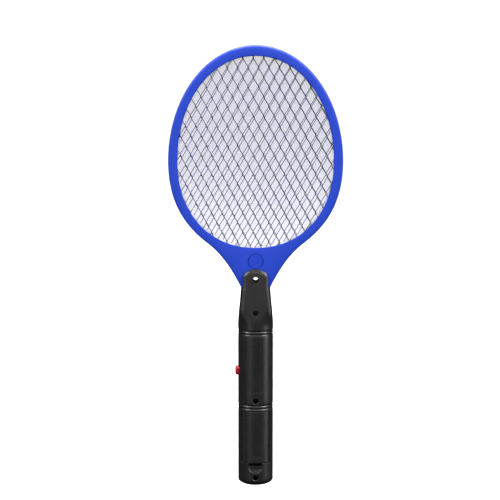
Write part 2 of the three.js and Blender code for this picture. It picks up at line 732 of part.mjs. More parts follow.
const frames = headFrames();
place("head_frame_front", frames.front, LOOKS.blue);
place("head_frame_rear", frames.rear, LOOKS.blue);
place("grid_front", outerGrid(-OUTER_GRID_Y, 0), LOOKS.steel);
place("grid_spacer_front", gridSpacer(-SPACER.far, -SPACER.near), LOOKS.greyPlastic);
place("grid_centre", centreGrid(), LOOKS.steel);
place("grid_spacer_rear", gridSpacer(SPACER.near, SPACER.far), LOOKS.greyPlastic);
place("grid_rear", outerGrid(OUTER_GRID_Y, DIAMOND.width / 3), LOOKS.steel);

const halves = handleHalves();
place("handle_shell_front", frontShell(halves.front), LOOKS.black);
place("handle_shell_rear", rearShell(halves.rear), LOOKS.black);
place("battery_door", batteryDoor(), LOOKS.black);
place("screw_butt", screw(SCREW_HEIGHTS.butt, GRIP_SCREW.seat, GRIP_SCREW.end), LOOKS.blackSteel);
place("screw_middle", screw(SCREW_HEIGHTS.middle, GRIP_SCREW.seat, GRIP_SCREW.end), LOOKS.blackSteel);
place("screw_neck", screw(SCREW_HEIGHTS.neck, NECK_SCREW.seat, NECK_SCREW.end), LOOKS.blackSteel);

place("push_button", pushButton(), LOOKS.red);
const plunger = rodAlongX(0, BUTTON.z, SWITCH.plungerRadius, PLUNGER.x0, PLUNGER.x1);
place("switch_plunger", plunger, LOOKS.epoxy);
place("switch_body", switchBody(), LOOKS.epoxy);

place("battery_1", battery(-1, true), LOOKS.battery);
place("battery_2", battery(1, false), LOOKS.battery);
place("contact_link", contactLink(), LOOKS.steel);
place("contact_positive", contactPositive(), LOOKS.steel);
place("contact_negative", upperContact(1), LOOKS.steel);
const linkTop = CONTACT.lowerZ + CONTACT.thickness;
place("spring_lower", coneSpring(-1, linkTop, BATTERY_Z.upward), LOOKS.steel);
const cellTop = BATTERY_Z.downward + BATTERY.length;
place("spring_upper", coneSpring(1, CONTACT.upperZ, cellTop), LOOKS.steel);

place("circuit_board", circuitBoard(), LOOKS.board);
place("transformer_core", transformerCore(), LOOKS.ferrite);
place("transformer_winding", transformerWinding(), LOOKS.copper);
place("storage_capacitor", storageCapacitor(), LOOKS.film);
place("multiplier_capacitor_1", discCapacitor(-6, 158), LOOKS.ceramic);
place("multiplier_capacitor_2", discCapacitor(6, 158), LOOKS.ceramic);
place("transistor", transistor(), LOOKS.epoxy);
[153, 158, 163].forEach((z, i) => {
  place("diode_" + (i + 1), axialPart(0, z, 1.2, 4), LOOKS.epoxy);
});
place("resistor_base", axialPart(-6, 102.5, 1.2, 5), LOOKS.resistor);
place("resistor_led", axialPart(-6, 107.5, 1.2, 5), LOOKS.resistor);
place("resistor_bleed", axialPart(5, 104.5, 1.4, 6), LOOKS.resistor);
place("indicator_led", indicatorLed(), LOOKS.led);

place("lead_high_voltage", wire(LEADS.highVoltage, WIRE_RADIUS), LOOKS.redLead);
place("lead_ground", wire(LEADS.ground, WIRE_RADIUS), LOOKS.blackLead);
place("lead_ground_bridge", wire(LEADS.groundBridge, WIRE_RADIUS), LOOKS.blackLead);
place("lead_battery_positive", batteryLead(-1), LOOKS.redLead);
place("lead_battery_negative", batteryLead(1), LOOKS.blackLead);

const part = new THREE.Group();
part.add(swatter);

export default part;
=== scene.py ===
"""Electric fly swatter: the looks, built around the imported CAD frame.

Shapes are worked out in millimetres, with heights counted from the butt of the handle, and
to_frame() puts them in the CAD frame in metres. The camera looks along +Y at the front face.
"""
import math

import bmesh
import bpy
from mathutils import Matrix, Vector


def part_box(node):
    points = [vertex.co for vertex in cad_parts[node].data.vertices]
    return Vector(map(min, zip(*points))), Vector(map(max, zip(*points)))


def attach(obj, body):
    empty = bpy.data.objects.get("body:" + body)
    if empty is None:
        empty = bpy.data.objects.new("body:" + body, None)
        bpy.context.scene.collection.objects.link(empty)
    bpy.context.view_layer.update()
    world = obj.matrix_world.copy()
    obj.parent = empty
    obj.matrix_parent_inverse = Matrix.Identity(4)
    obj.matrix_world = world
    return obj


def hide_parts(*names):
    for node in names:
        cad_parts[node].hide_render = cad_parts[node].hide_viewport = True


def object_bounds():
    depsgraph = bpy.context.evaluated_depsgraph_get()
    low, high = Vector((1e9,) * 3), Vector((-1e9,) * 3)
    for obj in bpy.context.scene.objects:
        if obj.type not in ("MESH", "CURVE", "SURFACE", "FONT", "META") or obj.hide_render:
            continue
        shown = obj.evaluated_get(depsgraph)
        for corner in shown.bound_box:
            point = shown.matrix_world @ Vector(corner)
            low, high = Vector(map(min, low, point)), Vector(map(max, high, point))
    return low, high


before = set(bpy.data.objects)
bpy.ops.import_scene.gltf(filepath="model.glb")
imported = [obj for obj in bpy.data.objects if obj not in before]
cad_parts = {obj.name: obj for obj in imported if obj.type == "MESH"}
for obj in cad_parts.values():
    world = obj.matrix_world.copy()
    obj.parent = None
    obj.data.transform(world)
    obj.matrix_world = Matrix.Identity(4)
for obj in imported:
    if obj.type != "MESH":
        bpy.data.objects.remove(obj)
CAD_LOW, CAD_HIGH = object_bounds()

# ---- units, and the sizes that come from the frame ----
MM = 0.001
BUTT_Z = CAD_LOW.z


def to_frame(point):
    """A point in millimetres, height counted from the butt, as a place in the frame."""
    x, y, height = point
    return Vector((x * MM, y * MM, BUTT_Z + height * MM))


def node_box(node):
    """A CAD node's box at rest: its lowest and highest corner, in millimetres from the butt."""
    butt = Vector((0, 0, BUTT_Z))
    low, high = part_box(node)
    return (low - butt) / MM, (high - butt) / MM


def node_middle(node):
    """The middle of a CAD node's box at rest, in millimetres from the butt."""
    low, high = node_box(node)
    return (low + high) / 2


HEAD_LOW, HEAD_HIGH = node_box("head_frame_front")
GRIP_LOW, GRIP_HIGH = node_box("handle_shell_front")
GAP = 0.3
SEAM = -HEAD_HIGH.y

# ---- the head's driving dimensions ----
HEAD_WIDEST = 341
HEAD_HALF_WIDTH = HEAD_HIGH.x
HEAD_TOP = HEAD_HIGH.z
FACE = -HEAD_LOW.y
FACE_WALL = 1.8
RIM_WALL = 2.2
OUTER_ROUNDING = 1.7
INNER_ROUNDING = 0.5
NECK = Vector((14.9, 209))
NECK_SLOPE = Vector((0.45, 0.89))
WAIST = Vector((50, 256))
WAIST_SLOPE = Vector((0.79, 0.61))
TANG_HALF_WIDTH = 11.5
TANG_BOTTOM = HEAD_LOW.z
OPENING_HALF_WIDTH = 80.3
OPENING_UP = 109
OPENING_DOWN = 90
# How square the opening's superellipse is above and below its widest place.
POWER_UP = 2.05
POWER_DOWN = 2.15
ROUNDEL_HEIGHT = 236.5
ROUNDEL_RADIUS = 7.7
HOLE_HEIGHT = 218
HOLE_RADIUS = 3
SPIGOT_RADIUS = 3.4

# ---- the handle's driving dimensions ----
WALL = 2
HANDLE_TOP = 208.6
BUTT_RISE = 7
INNER_FLOOR = 3.5
TONGUE_INNER = FACE + 0.05
ARCH_BASE = 220.4
ARCH_HALF_WIDTH = 12.7
ARCH_RISE = GRIP_HIGH.z - ARCH_BASE
PANEL_CROWN = 0.5
BEVEL_WIDTH = 3.2
BEVEL_DROP = 1.3
BEVEL_CURVE = 1.3
PANEL_ROUNDING = 0.4
WALL_CURVE = 1.6
BLEND_FROM = 168
BLEND_TO = 188
# (height, half width) of the outside, (height, half width) of the flat panel on each face, and
# (height, depth) of that panel.
SILHOUETTE = [(166, 18.2), (172.8, 18.2), (186, 17.2), (196, 16.2), (205.8, 15.4), (208.6, 15.2)]
PANEL = [(166, 17.6), (172.8, 17.6), (186, 16.0), (196, 14.8), (205.8, 13.7), (220.4, 12.7)]
PANEL_DEPTH = [
    (166, 15.5), (175, 15.2), (183, 14.3), (192, 13.3), (202, 12.12), (208.6, 11.3), (229, 8.776),
]
HALF_WIDTH = -GRIP_LOW.x
HALF_DEPTH = -GRIP_LOW.y
GROOVES = [83.2, 86.4, 161.3, 164.5]
GROOVE_DEPTH = 0.6
GROOVE_HALF_WIDTH = 1.35

SCREW_HEIGHTS = {"screw_butt": 10.2, "screw_middle": 91.5, "screw_neck": 184.2}
RECESS_RADIUS = 2.85
BOSS_RADIUS = 4.2
BUTTON_HEIGHT = 121.8
BUTTON_HALF_DEPTH = 5.5
BUTTON_HALF_HEIGHT = 4.5
LED_HEIGHT = 158
LED_RADIUS = 1.5
DOOR_BOTTOM = 26
DOOR_TOP = 80.2
HOOK_FOOT = 77
LATCH_HALF_WIDTH = 6.8
SLOT_HALF_WIDTH = 7.15
SLOT_BOTTOM = 22.9
SLOT_TOP = 27
LABEL_HALF_WIDTH = 7
LABEL_BOTTOM = 100
LABEL_TOP = 150
LABEL_DEPTH = 0.3
DIMPLE_HALF_WIDTH = 7
DIMPLE_TOP = 21.4
DIMPLE_BOTTOM = 15.2
SCREW_HEAD = 1.8
LEG_RADIUS = 0.3
BULKHEADS = [18, 80.7]
BOARD_POSTS = [112, 164]


# ---- small mathematics ----
def mix(a, b, share):
    return a + (b - a) * share


def smoothstep(low, high, value):
    share = min(1, max(0, (value - low) / (high - low)))
    return share * share * (3 - 2 * share)


def smooth_table(table, at):
    """A smooth curve through the (place, value) pairs of a table, level beyond its ends."""
    if at <= table[0][0]:
        return table[0][1]
    if at >= table[-1][0]:
        return table[-1][1]
    i = max(k for k in range(len(table) - 1) if table[k][0] <= at)

    def slope(k):
        before, after = table[max(k - 1, 0)], table[min(k + 1, len(table) - 1)]
        return (after[1] - before[1]) / (after[0] - before[0])

    (x0, y0), (x1, y1) = table[i], table[i + 1]
    run = x1 - x0
    s = (at - x0) / run
    start = (2 * s**3 - 3 * s**2 + 1) * y0 + (s**3 - 2 * s**2 + s) * run * slope(i)
    end = (3 * s**2 - 2 * s**3) * y1 + (s**3 - s**2) * run * slope(i + 1)
    return start + end


def bezier(a, b, c, d, count):
    """count points along a cubic curve, without its first point."""
    points = []
    for i in range(1, count + 1):
        t = i / count
        u = 1 - t
        points.append(u**3 * a + 3 * u * u * t * b + 3 * u * t * t * c + t**3 * d)
    return points


def quarter(count, first=0):
    """count steps of a quarter turn, in radians."""
    return [math.pi / 2 * i / count for i in range(first, count + 1)]


def full_turn(count):
    """count directions spread evenly round a circle, each as its cosine and sine."""
    turns = [2 * math.pi * i / count for i in range(count)]
    return [(math.cos(a), math.sin(a)) for a in turns]


def spread(half, count):
    """count steps from -half to half."""
    return [mix(-half, half, i / count) for i in range(count + 1)]


def run_out(count):
    """Half widths of a groove at count steps along it, that run out at both ends."""
    return [0.05 + 0.3 * math.sqrt(1 - along**2) for along in spread(1, count)]


# ---- solids ----
def in_scene(name, data):
    """A new object in the scene, made of the data."""
    piece = bpy.data.objects.new(name, data)
    bpy.context.scene.collection.objects.link(piece)
    return piece


def solid(points, faces):
    """A closed object from points in millimetres, with its faces pointing out."""
    work = bmesh.new()
    corners = [work.verts.new(to_frame(p)) for p in points]
    for face in faces:
        work.faces.new([corners[i] for i in face])
    bmesh.ops.remove_doubles(work, verts=work.verts, dist=2e-6)
    bmesh.ops.recalc_face_normals(work, faces=work.faces)
    mesh = bpy.data.meshes.new("solid")
    work.to_mesh(mesh)
    work.free()
    return in_scene("solid", mesh)


def is_point(ring):
    return all((Vector(p) - Vector(ring[0])).length < 0.002 for p in ring)


def loft(rings, looped=False):
    """A skin through rings of equal length. Its ends are capped, or join up if it is looped."""
    width = len(rings[0])
    points = [p for ring in rings for p in ring]
    faces = []
    for i in range(len(rings) - (0 if looped else 1)):
        here, there = i * width, (i + 1) % len(rings) * width
        for j in range(width):
            k = (j + 1) % width
            faces.append((here + j, here + k, there + k, there + j))
    if not looped:
        last = (len(rings) - 1) * width
        if not is_point(rings[0]):
            faces.append(tuple(range(width)))
        if not is_point(rings[-1]):
            faces.append(tuple(range(last, last + width)))
    return solid(points, faces)


def circle(x, y, height, radius, axis, sides):
    """A ring of points round a line along the named axis."""
    points = []
    for cosine, sine in full_turn(sides):
        c, s = radius * cosine, radius * sine
        offset = {"x": (0, c, s), "y": (c, 0, s), "z": (c, s, 0)}[axis]
        points.append((x + offset[0], y + offset[1], height + offset[2]))
    return points


def lathe(place, axis, profile, sides=40):
    """A turned solid at place: profile is a list of (distance along the axis, radius)."""
    rings = []
    for along, radius in profile:
        centre = list(place)
        centre["xyz".index(axis)] += along
        rings.append(circle(*centre, radius, axis, sides))
    return loft(rings)


def peg(place, axis, start, end, radius, sides=40):
    """A straight round rod, from start to end along an axis through place."""
    return lathe(place, axis, [(start, radius), (end, radius)], sides)


def symmetrical(profile):
    """A turned profile from its first half."""
    return profile + [(-along, radius) for along, radius in reversed(profile)]


def flattened_ball(centre, size):
    """A ball squashed to its half sizes."""
    rings = []
    for i in range(13):
        along, around = -math.cos(math.pi * i / 12), math.sin(math.pi * i / 12)
        directions = [(along, around * c, around * s) for c, s in full_turn(20)]
        rings.append([[m + h * d for m, h, d in zip(centre, size, way)] for way in directions])
    return loft(rings)


def reshape(piece, change):
    """Edits a piece's mesh with a function of its bmesh."""
    work = bmesh.new()
    work.from_mesh(piece.data)
    change(work)
    work.to_mesh(piece.data)
    work.free()
    return piece


def block(low, high, rounding=0.0):
    """A box from its lowest to its highest corner, with bevelled edges."""
    (x0, y0, z0), (x1, y1, z1) = low, high
    ring = [(x0, y0), (x1, y0), (x1, y1), (x0, y1)]
    piece = loft([[(x, y, z) for x, y in ring] for z in (z0, z1)])
    bevel = {"offset": rounding * MM, "segments": 3, "profile": 0.5, "affect": "EDGES"}
    if rounding:
        reshape(piece, lambda work: bmesh.ops.bevel(work, geom=work.edges, **bevel))
    return piece


def combine(target, tools, operation):
    """Joins solids to the target, cuts them from it, or keeps what it shares with them."""
    for tool in tools:
        modifier = target.modifiers.new("combine", "BOOLEAN")
        modifier.operation = operation
        modifier.solver = "MANIFOLD"
        modifier.object = tool
        evaluated = target.evaluated_get(bpy.context.evaluated_depsgraph_get())
        old, made = target.data, bpy.data.meshes.new_from_object(evaluated)
        target.modifiers.clear()
        target.data = made
        bpy.data.meshes.remove(old)
        bpy.data.meshes.remove(tool.data)
    return target


def cut(target, *tools):
    return combine(target, tools, "DIFFERENCE")


def join(target, *tools):
    return combine(target, tools, "UNION")


def keep_inside(target, tool):
    return combine(target, [tool], "INTERSECT")


def bead(path, outward, radius, looped=True):
    """A square rod along a path on a surface. Cut away, it leaves a chamfer or a groove.

    outward is the surface's direction at each point of the path, and radius is one number or
    one for each point.
    """
    rings = []
    count = len(path)
    for i, here in enumerate(path):
        before = path[i - 1] if looped or i else here
        after = path[(i + 1) % count] if looped or i + 1 < count else here
        along = (Vector(after) - Vector(before)).normalized()
        out = Vector(outward[i]).normalized()
        side = along.cross(out).normalized()
        size = radius[i] if isinstance(radius, list) else radius
        rings.append([Vector(here) + size * d for d in (out, side, -out, -side)])
    return loft(rings, looped)


def keep_largest_island(work):
    """Removes what doesn't hang together with the largest part of a mesh."""
    left = set(work.verts)
    islands = []
    while left:
        island, edge = set(), [left.pop()]
        while edge:
            vertex = edge.pop()
            island.add(vertex)
            near = {e.other_vert(vertex) for e in vertex.link_edges} & left
            left -= near
            edge.extend(near)
        islands.append(island)
    keep = max(islands, key=len)
    loose = [v for island in islands if island is not keep for v in island]
    bmesh.ops.delete(work, geom=loose, context="VERTS")


def paint(piece, slot_name, material=None):
    """Gives a piece its slot, and the slot's own material unless it has another."""
    piece.data.materials.clear()
    piece.data.materials.append(material or LOOKS[slot_name])


def show(piece, name, slot_name, nodes=(), crease=30, body="swatter", material=None):
    """Names a finished piece, gives it its finish, and lets it ride on its body."""
    piece.name = name
    piece.data.name = name
    paint(piece, slot_name, material)
    piece.data.shade_smooth()
    piece.data.set_sharp_from_angle(angle=math.radians(crease))
    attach(piece, body)
    if nodes:
        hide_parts(*nodes)


# ---- materials ----
class Look:
    """A procedural material, built a node at a time."""

    def __init__(self, name):
        self.material = bpy.data.materials.new(name)
        self.material.use_nodes = True
        self.tree = self.material.node_tree
        self.shader = self.tree.nodes["Principled BSDF"]
        self.place = self.tree.nodes.new("ShaderNodeTexCoord").outputs["Object"]

    def node(self, kind, inputs=(), **settings):
        made = self.tree.nodes.new("ShaderNode" + kind)
        for key, value in settings.items():
            setattr(made, key, value)
        for key, value in dict(inputs).items():
            self.feed(made.inputs[key], value)
        return made

    def feed(self, socket, value):
        if isinstance(value, bpy.types.NodeSocket):
            self.tree.links.new(value, socket)
        else:
            socket.default_value = value

    def set(self, **values):
        """Sets or links the shader's own sockets, named with _ for a space."""
        for key, value in values.items():
            self.feed(self.shader.inputs[key.replace("_", " ")], value)

    def stretched(self, x, y, z):
        """The place, scaled along each axis, for marks that run one way."""
        made = self.node("Mapping", {"Vector": self.place})
        made.inputs["Scale"].default_value = (x, y, z)
        return made.outputs["Vector"]

    def noise(self, size, detail=4.0, roughness=0.55, place=None):
        """Noise whose features are about size millimetres across, from 0 to 1."""
        inputs = {"Vector": place or self.place, "Scale": 1 / (size * MM)}
        inputs.update({"Detail": detail, "Roughness": roughness})
        return self.node("TexNoise", inputs).outputs["Fac"]

    def between(self, value, low, high, source=(0.3, 0.7)):
        """Maps a value's usual range to low..high."""
        inputs = {"Value": value, "To Min": low, "To Max": high}
        inputs.update({"From Min": source[0], "From Max": source[1]})
        return self.node("MapRange", inputs).outputs["Result"]

    def blend(self, share, a, b):
        made = self.node("Mix", data_type="RGBA")
        self.feed(made.inputs["Factor"], share)
        self.feed(made.inputs["A"], a)
        self.feed(made.inputs["B"], b)
        return made.outputs["Result"]

    def bump(self, height, distance, under=None):
        """A normal for relief of a given depth in millimetres, on top of another if given."""
        made = self.node("Bump", {"Height": height, "Distance": distance * MM, "Strength": 1.0})
        if under:
            self.feed(made.inputs["Normal"], under)
        return made.outputs["Normal"]

    def combined(self, operation, a, b):
        """Two values put together by a mathematical operation."""
        return self.node("Math", {0: a, 1: b}, operation=operation).outputs[0]

    def mottled(self, pattern, color, dark, light):
        """A colour that follows a pattern, between dark and light times itself."""
        return self.blend(self.between(pattern, 0, 1), shade(color, dark), shade(color, light))

    def worn_edges(self):
        """1 on the outer edges of the shape, 0 elsewhere, broken up by noise."""
        pointiness = self.node("NewGeometry").outputs["Pointiness"]
        edge = self.between(pointiness, 0, 1, (0.53, 0.62))
        return self.combined("MULTIPLY", edge, self.between(self.noise(1.2), 0.2, 1))


def linear(*color):
    """A colour given in sRGB, 0 to 255, as linear RGBA."""
    def channel(value):
        value /= 255
        return value / 12.92 if value <= 0.04045 else ((value + 0.055) / 1.055) ** 2.4

    return tuple(channel(value) for value in color) + (1,)


def shade(color, factor):
    """A colour made darker or lighter."""
    return tuple(min(1, c * factor) for c in color[:3]) + (1,)


def moulded_plastic(name, color, roughness, grain, grain_depth, wear, cloud=0.08, sheen=0.5):
    """Injection-moulded plastic: eroded grain, slow waves in tone and gloss, paler edges."""
    look = Look(name)
    tone = look.mottled(look.noise(35, 3), color, 1 - cloud, 1 + cloud)
    worn = look.blend(look.combined("MULTIPLY", look.worn_edges(), wear), tone, shade(color, 3.0))
    rub = look.between(look.noise(2.4, 5, 0.6, look.stretched(1, 1, 0.12)), -0.05, 0.06)
    patch = look.between(look.noise(14, 4), roughness - 0.04, roughness + 0.05)
    gloss = look.combined("ADD", rub, patch)
    wave = look.bump(look.noise(16, 2), 0.03)
    normal = look.bump(look.noise(grain, 3, 0.6), grain_depth, under=wave)
    look.set(Base_Color=worn, Roughness=gloss, Normal=normal, Specular_IOR_Level=sheen)
    return look.material


def steel(name, color, roughness, grain=0.5, along=(1, 1, 0.08)):
    """Plated or drawn steel: fine marks along the strand and a cloudy plating."""
    look = Look(name)
    marks = look.noise(grain, 4, 0.6, look.stretched(*along))
    tone = look.mottled(look.noise(6, 4), color, 0.86, 1.1)
    streak = look.blend(look.between(marks, 0, 1, (0.45, 0.75)), tone, shade(color, 0.72))
    gloss = look.between(marks, roughness - 0.08, roughness + 0.12)
    normal = look.bump(marks, 0.02)
    look.set(Base_Color=streak, Roughness=gloss, Normal=normal, Metallic=1.0)
    return look.material


def battery_jacket(name, lower_color, upper_color, line_top, upper_start):
    """Film shrunk over a cell: two colours, one above the other, and a dark line at the foot."""
    look = Look(name)
    height = look.node("SeparateXYZ", {"Vector": look.place}).outputs["Z"]

    def step_at(level, below, above):
        edge = (BUTT_Z + (level - 0.05) * MM, BUTT_Z + (level + 0.05) * MM)
        return look.between(height, below, above, edge)

    tone = look.blend(step_at(upper_start, 0, 1), lower_color, upper_color)
    tone = look.blend(step_at(line_top, 1, 0), tone, shade(lower_color, 0.3))
    fleck = look.between(look.noise(0.9, 5), 0, 0.25, (0.5, 0.8))
    scuffed = look.blend(fleck, tone, shade(lower_color, 2.0))
    gloss = look.between(look.noise(5, 4), 0.22, 0.38)
    normal = look.bump(look.noise(3, 2, 0.5, look.stretched(1, 1, 0.3)), 0.03)
    look.set(Base_Color=scuffed, Roughness=gloss, Normal=normal, Metallic=0.35)
    return look.material


def board_laminate(name, color):
    """Paper phenolic: fibres across the sheet and a faint varnish."""
    look = Look(name)
    fibre = look.noise(1.2, 6, 0.7, look.stretched(0.25, 1, 1))
    tone = look.mottled(fibre, color, 0.75, 1.2)
    gloss = look.between(look.noise(4, 4), 0.38, 0.6)
    look.set(Base_Color=tone, Roughness=gloss, Normal=look.bump(fibre, 0.02))
    return look.material


def dipped_coat(name, color, roughness, lump=1.6):
    """Lacquer or epoxy dipped over a component: rounded lumps and small pits."""
    look = Look(name)
    lumps = look.noise(lump, 3, 0.5)
    tone = look.mottled(lumps, color, 0.82, 1.15)
    gloss = look.between(look.noise(0.6, 4), roughness - 0.08, roughness + 0.12)
    look.set(Base_Color=tone, Roughness=gloss, Normal=look.bump(lumps, 0.06))
    return look.material


def clear_lens(name, color):
    """Tinted clear epoxy with faint flow marks."""
    look = Look(name)
    tone = look.mottled(look.noise(1.5, 3), color, 0.9, 1.1)
    gloss = look.between(look.noise(0.8, 3), 0.04, 0.12)
    look.set(Base_Color=tone, Roughness=gloss, Transmission_Weight=0.7, IOR=1.5)
    return look.material


def floor_paper(name, color):
    """Matt studio paper with a very fine tooth."""
    look = Look(name)
    tone = look.mottled(look.noise(120, 3), color, 0.99, 1)
    look.set(Base_Color=tone, Roughness=0.9, Normal=look.bump(look.noise(0.8, 3), 0.02))
    return look.material


CELL_LOW, CELL_HIGH = node_box("battery_1")
# Each slot's kind of material, its colour in sRGB, and that kind's own values.
FINISHES = {
    "frame_plastic": (moulded_plastic, (28, 59, 175), 0.42, 0.5, 0.006, 0.12, 0.05, 0.4),
    "handle_plastic": (moulded_plastic, (26, 26, 27), 0.34, 1.0, 0.09, 0.5, 0.14, 0.5),
    "button_plastic": (moulded_plastic, (168, 20, 42), 0.3, 0.4, 0.006, 0.15),
    "spacer_plastic": (moulded_plastic, (222, 222, 226), 0.5, 0.5, 0.01, 0.05),
    "grid_steel": (steel, (68, 68, 78), 0.38),
    "fine_grid_steel": (steel, (80, 78, 170), 0.4, 0.3),
    "screw_steel": (steel, (62, 62, 64), 0.35, 0.3, (1, 1, 1)),
    "contact_steel": (steel, (205, 205, 208), 0.25, 0.4),
    "board": (board_laminate, (168, 124, 62)),
    "component_black": (dipped_coat, (38, 38, 40), 0.5),
    "ferrite": (dipped_coat, (58, 58, 62), 0.72, 0.6),
    "winding_tape": (dipped_coat, (212, 170, 60), 0.3, 3.0),
    "film_capacitor": (dipped_coat, (128, 52, 28), 0.3),
    "ceramic_capacitor": (dipped_coat, (46, 104, 170), 0.35),
    "resistor_coat": (dipped_coat, (208, 180, 138), 0.5),
    "red_wire": (dipped_coat, (178, 34, 40), 0.4, 4.0),
    "black_wire": (dipped_coat, (30, 30, 32), 0.42, 4.0),
    "led_lens": (clear_lens, (200, 30, 38)),
}
LOOKS = {
    slot: kind(slot, linear(*color), *values) for slot, (kind, color, *values) in FINISHES.items()
}
CELL_BODY = linear(62, 70, 82)
CELL_BAND = linear(196, 150, 88)
CELL_LOOKS = [
    battery_jacket("cell_upward", CELL_BODY, CELL_BAND, CELL_LOW.z + 2, CELL_HIGH.z - 13),
    battery_jacket("cell_downward", CELL_BAND, CELL_BODY, CELL_LOW.z, CELL_LOW.z + 12),
]


# ---- outlines of the head, as (x, height) ----
def head_outline():
    """The head, its neck and its tang, anticlockwise from the tang's lower right corner."""
    rise = HEAD_TOP - HEAD_WIDEST
    side = Vector((HEAD_HALF_WIDTH, HEAD_WIDEST))
    right = [Vector((TANG_HALF_WIDTH, mix(TANG_BOTTOM, NECK.y, i / 6))) for i in range(7)]
    right.append(NECK)
    right += bezier(NECK, NECK + 18 * NECK_SLOPE, WAIST - 22 * WAIST_SLOPE, WAIST, 24)
    right += bezier(WAIST, WAIST + 30 * WAIST_SLOPE, side - Vector((0, 42)), side, 36)
    for angle in quarter(72, 1):
        crown = Vector((HEAD_HALF_WIDTH * math.cos(angle), rise * math.sin(angle)))
        right.append(Vector((0, HEAD_WIDEST)) + crown)
    left = [Vector((-p.x, p.y)) for p in reversed(right[:-1])]
    foot = [Vector((TANG_HALF_WIDTH * share, TANG_BOTTOM)) for share in (-0.5, 0, 0.5)]
    return right + left + foot


def inset(outline, distance):
    """Moves every side of an anticlockwise outline inwards by the same distance."""
    moved = []
    count = len(outline)
    for i, here in enumerate(outline):
        sides = []
        for a, b in ((outline[i - 1], here), (here, outline[(i + 1) % count])):
            along = (b - a).normalized()
            sides.append(Vector((-along.y, along.x)))
        moved.append(here + (sides[0] + sides[1]) * distance / (1 + sides[0].dot(sides[1])))
    return moved


def opening_end(upper, grow):
    """How far the opening, moved out by grow, reaches up or down, and its power."""
    return (OPENING_UP + grow, POWER_UP) if upper else (OPENING_DOWN + grow, POWER_DOWN)


def opening_point(direction, grow):
    """Where the head's opening, moved out by grow, is met in a direction from its middle."""
    reach, power = opening_end(direction.y > 0, grow)
    across = abs(direction.x) / (OPENING_HALF_WIDTH + grow)
    along = abs(direction.y) / reach
    distance = (across**power + along**power) ** (-1 / power)
    return Vector((0, HEAD_WIDEST)) + direction * distance


def opening(grow):
    """The head's opening, moved out by grow, anticlockwise."""
    return [opening_point(Vector(direction), grow) for direction in full_turn(200)]


def at_depth(outline, y):
    return [(x, y, height) for x, height in outline]


def prism(outline, y0, y1):
    """An outline carried from one depth to another."""
    # Rounded to single precision, its walls keep clear of the chamfers cut along them.
    corners = [Vector(p) for p in outline]
    return loft([at_depth(corners, y0), at_depth(corners, y1)])


# ---- the head ----
def head_frame(side):
    """One half of the racket frame: a face plate with a rim round it, hollow behind."""
    outline = head_outline()
    middle = Vector((0, HEAD_WIDEST))
    rays = [(p - middle).normalized() for p in outline]

    def outer(distance, y):
        return at_depth(inset(outline, distance), side * y)

    def inner(distance, y):
        return at_depth([opening_point(ray, distance) for ray in rays], side * y)

    rings = [outer(0.25, SEAM), outer(0, SEAM + 0.25)]
    for angle in quarter(6):
        rise = OUTER_ROUNDING * math.sin(angle)
        rings.append(outer(OUTER_ROUNDING * (1 - math.cos(angle)), FACE - OUTER_ROUNDING + rise))
    for angle in quarter(4):
        rise = INNER_ROUNDING * math.cos(angle)
        rings.append(inner(INNER_ROUNDING * (1 - math.sin(angle)), FACE - INNER_ROUNDING + rise))
    rings.append(inner(0, FACE - FACE_WALL + 0.2))
    rings.append(inner(0.2, FACE - FACE_WALL))
    rings.append(outer(RIM_WALL, FACE - FACE_WALL))
    rings.append(outer(RIM_WALL, SEAM))
    return loft(rings, looped=True)


def head_half(side):
    """A frame half with its boss round the hanging hole and its screw hole."""
    half = head_frame(side)
    hole, past = (0, 0, HOLE_HEIGHT), side * (FACE + 1)
    join(half, peg(hole, "y", side * SEAM, side * (FACE - 0.4), 4.8))
    cut(
        half,
        peg(hole, "y", 0, past, SPIGOT_RADIUS + 0.1),
        peg((0, 0, SCREW_HEIGHTS["screw_neck"]), "y", 0, past, 1.8),
    )
    return half


def roundel():
    """The cutter for the plain ring in the front of the neck."""
    top, floor = -FACE - 0.2, -FACE + 0.6
    profile = [(-0.75, top), (0.75, top), (0.45, floor), (-0.45, floor)]
    circles = [circle(0, y, ROUNDEL_HEIGHT, ROUNDEL_RADIUS + r, "y", 64) for r, y in profile]
    return loft(circles, looped=True)


def seam_lip(outline, distance, thickness):
    """A thin lip behind a seam, which keeps light and dust out of it."""
    near = inset(outline, distance)
    far = inset(outline, distance + thickness)
    rings = []
    for a, b in zip(near, far):
        rings.append([(a.x, -1.3, a.y), (b.x, -1.3, b.y), (b.x, 1.8, b.y), (a.x, 1.8, a.y)])
    return loft(rings)


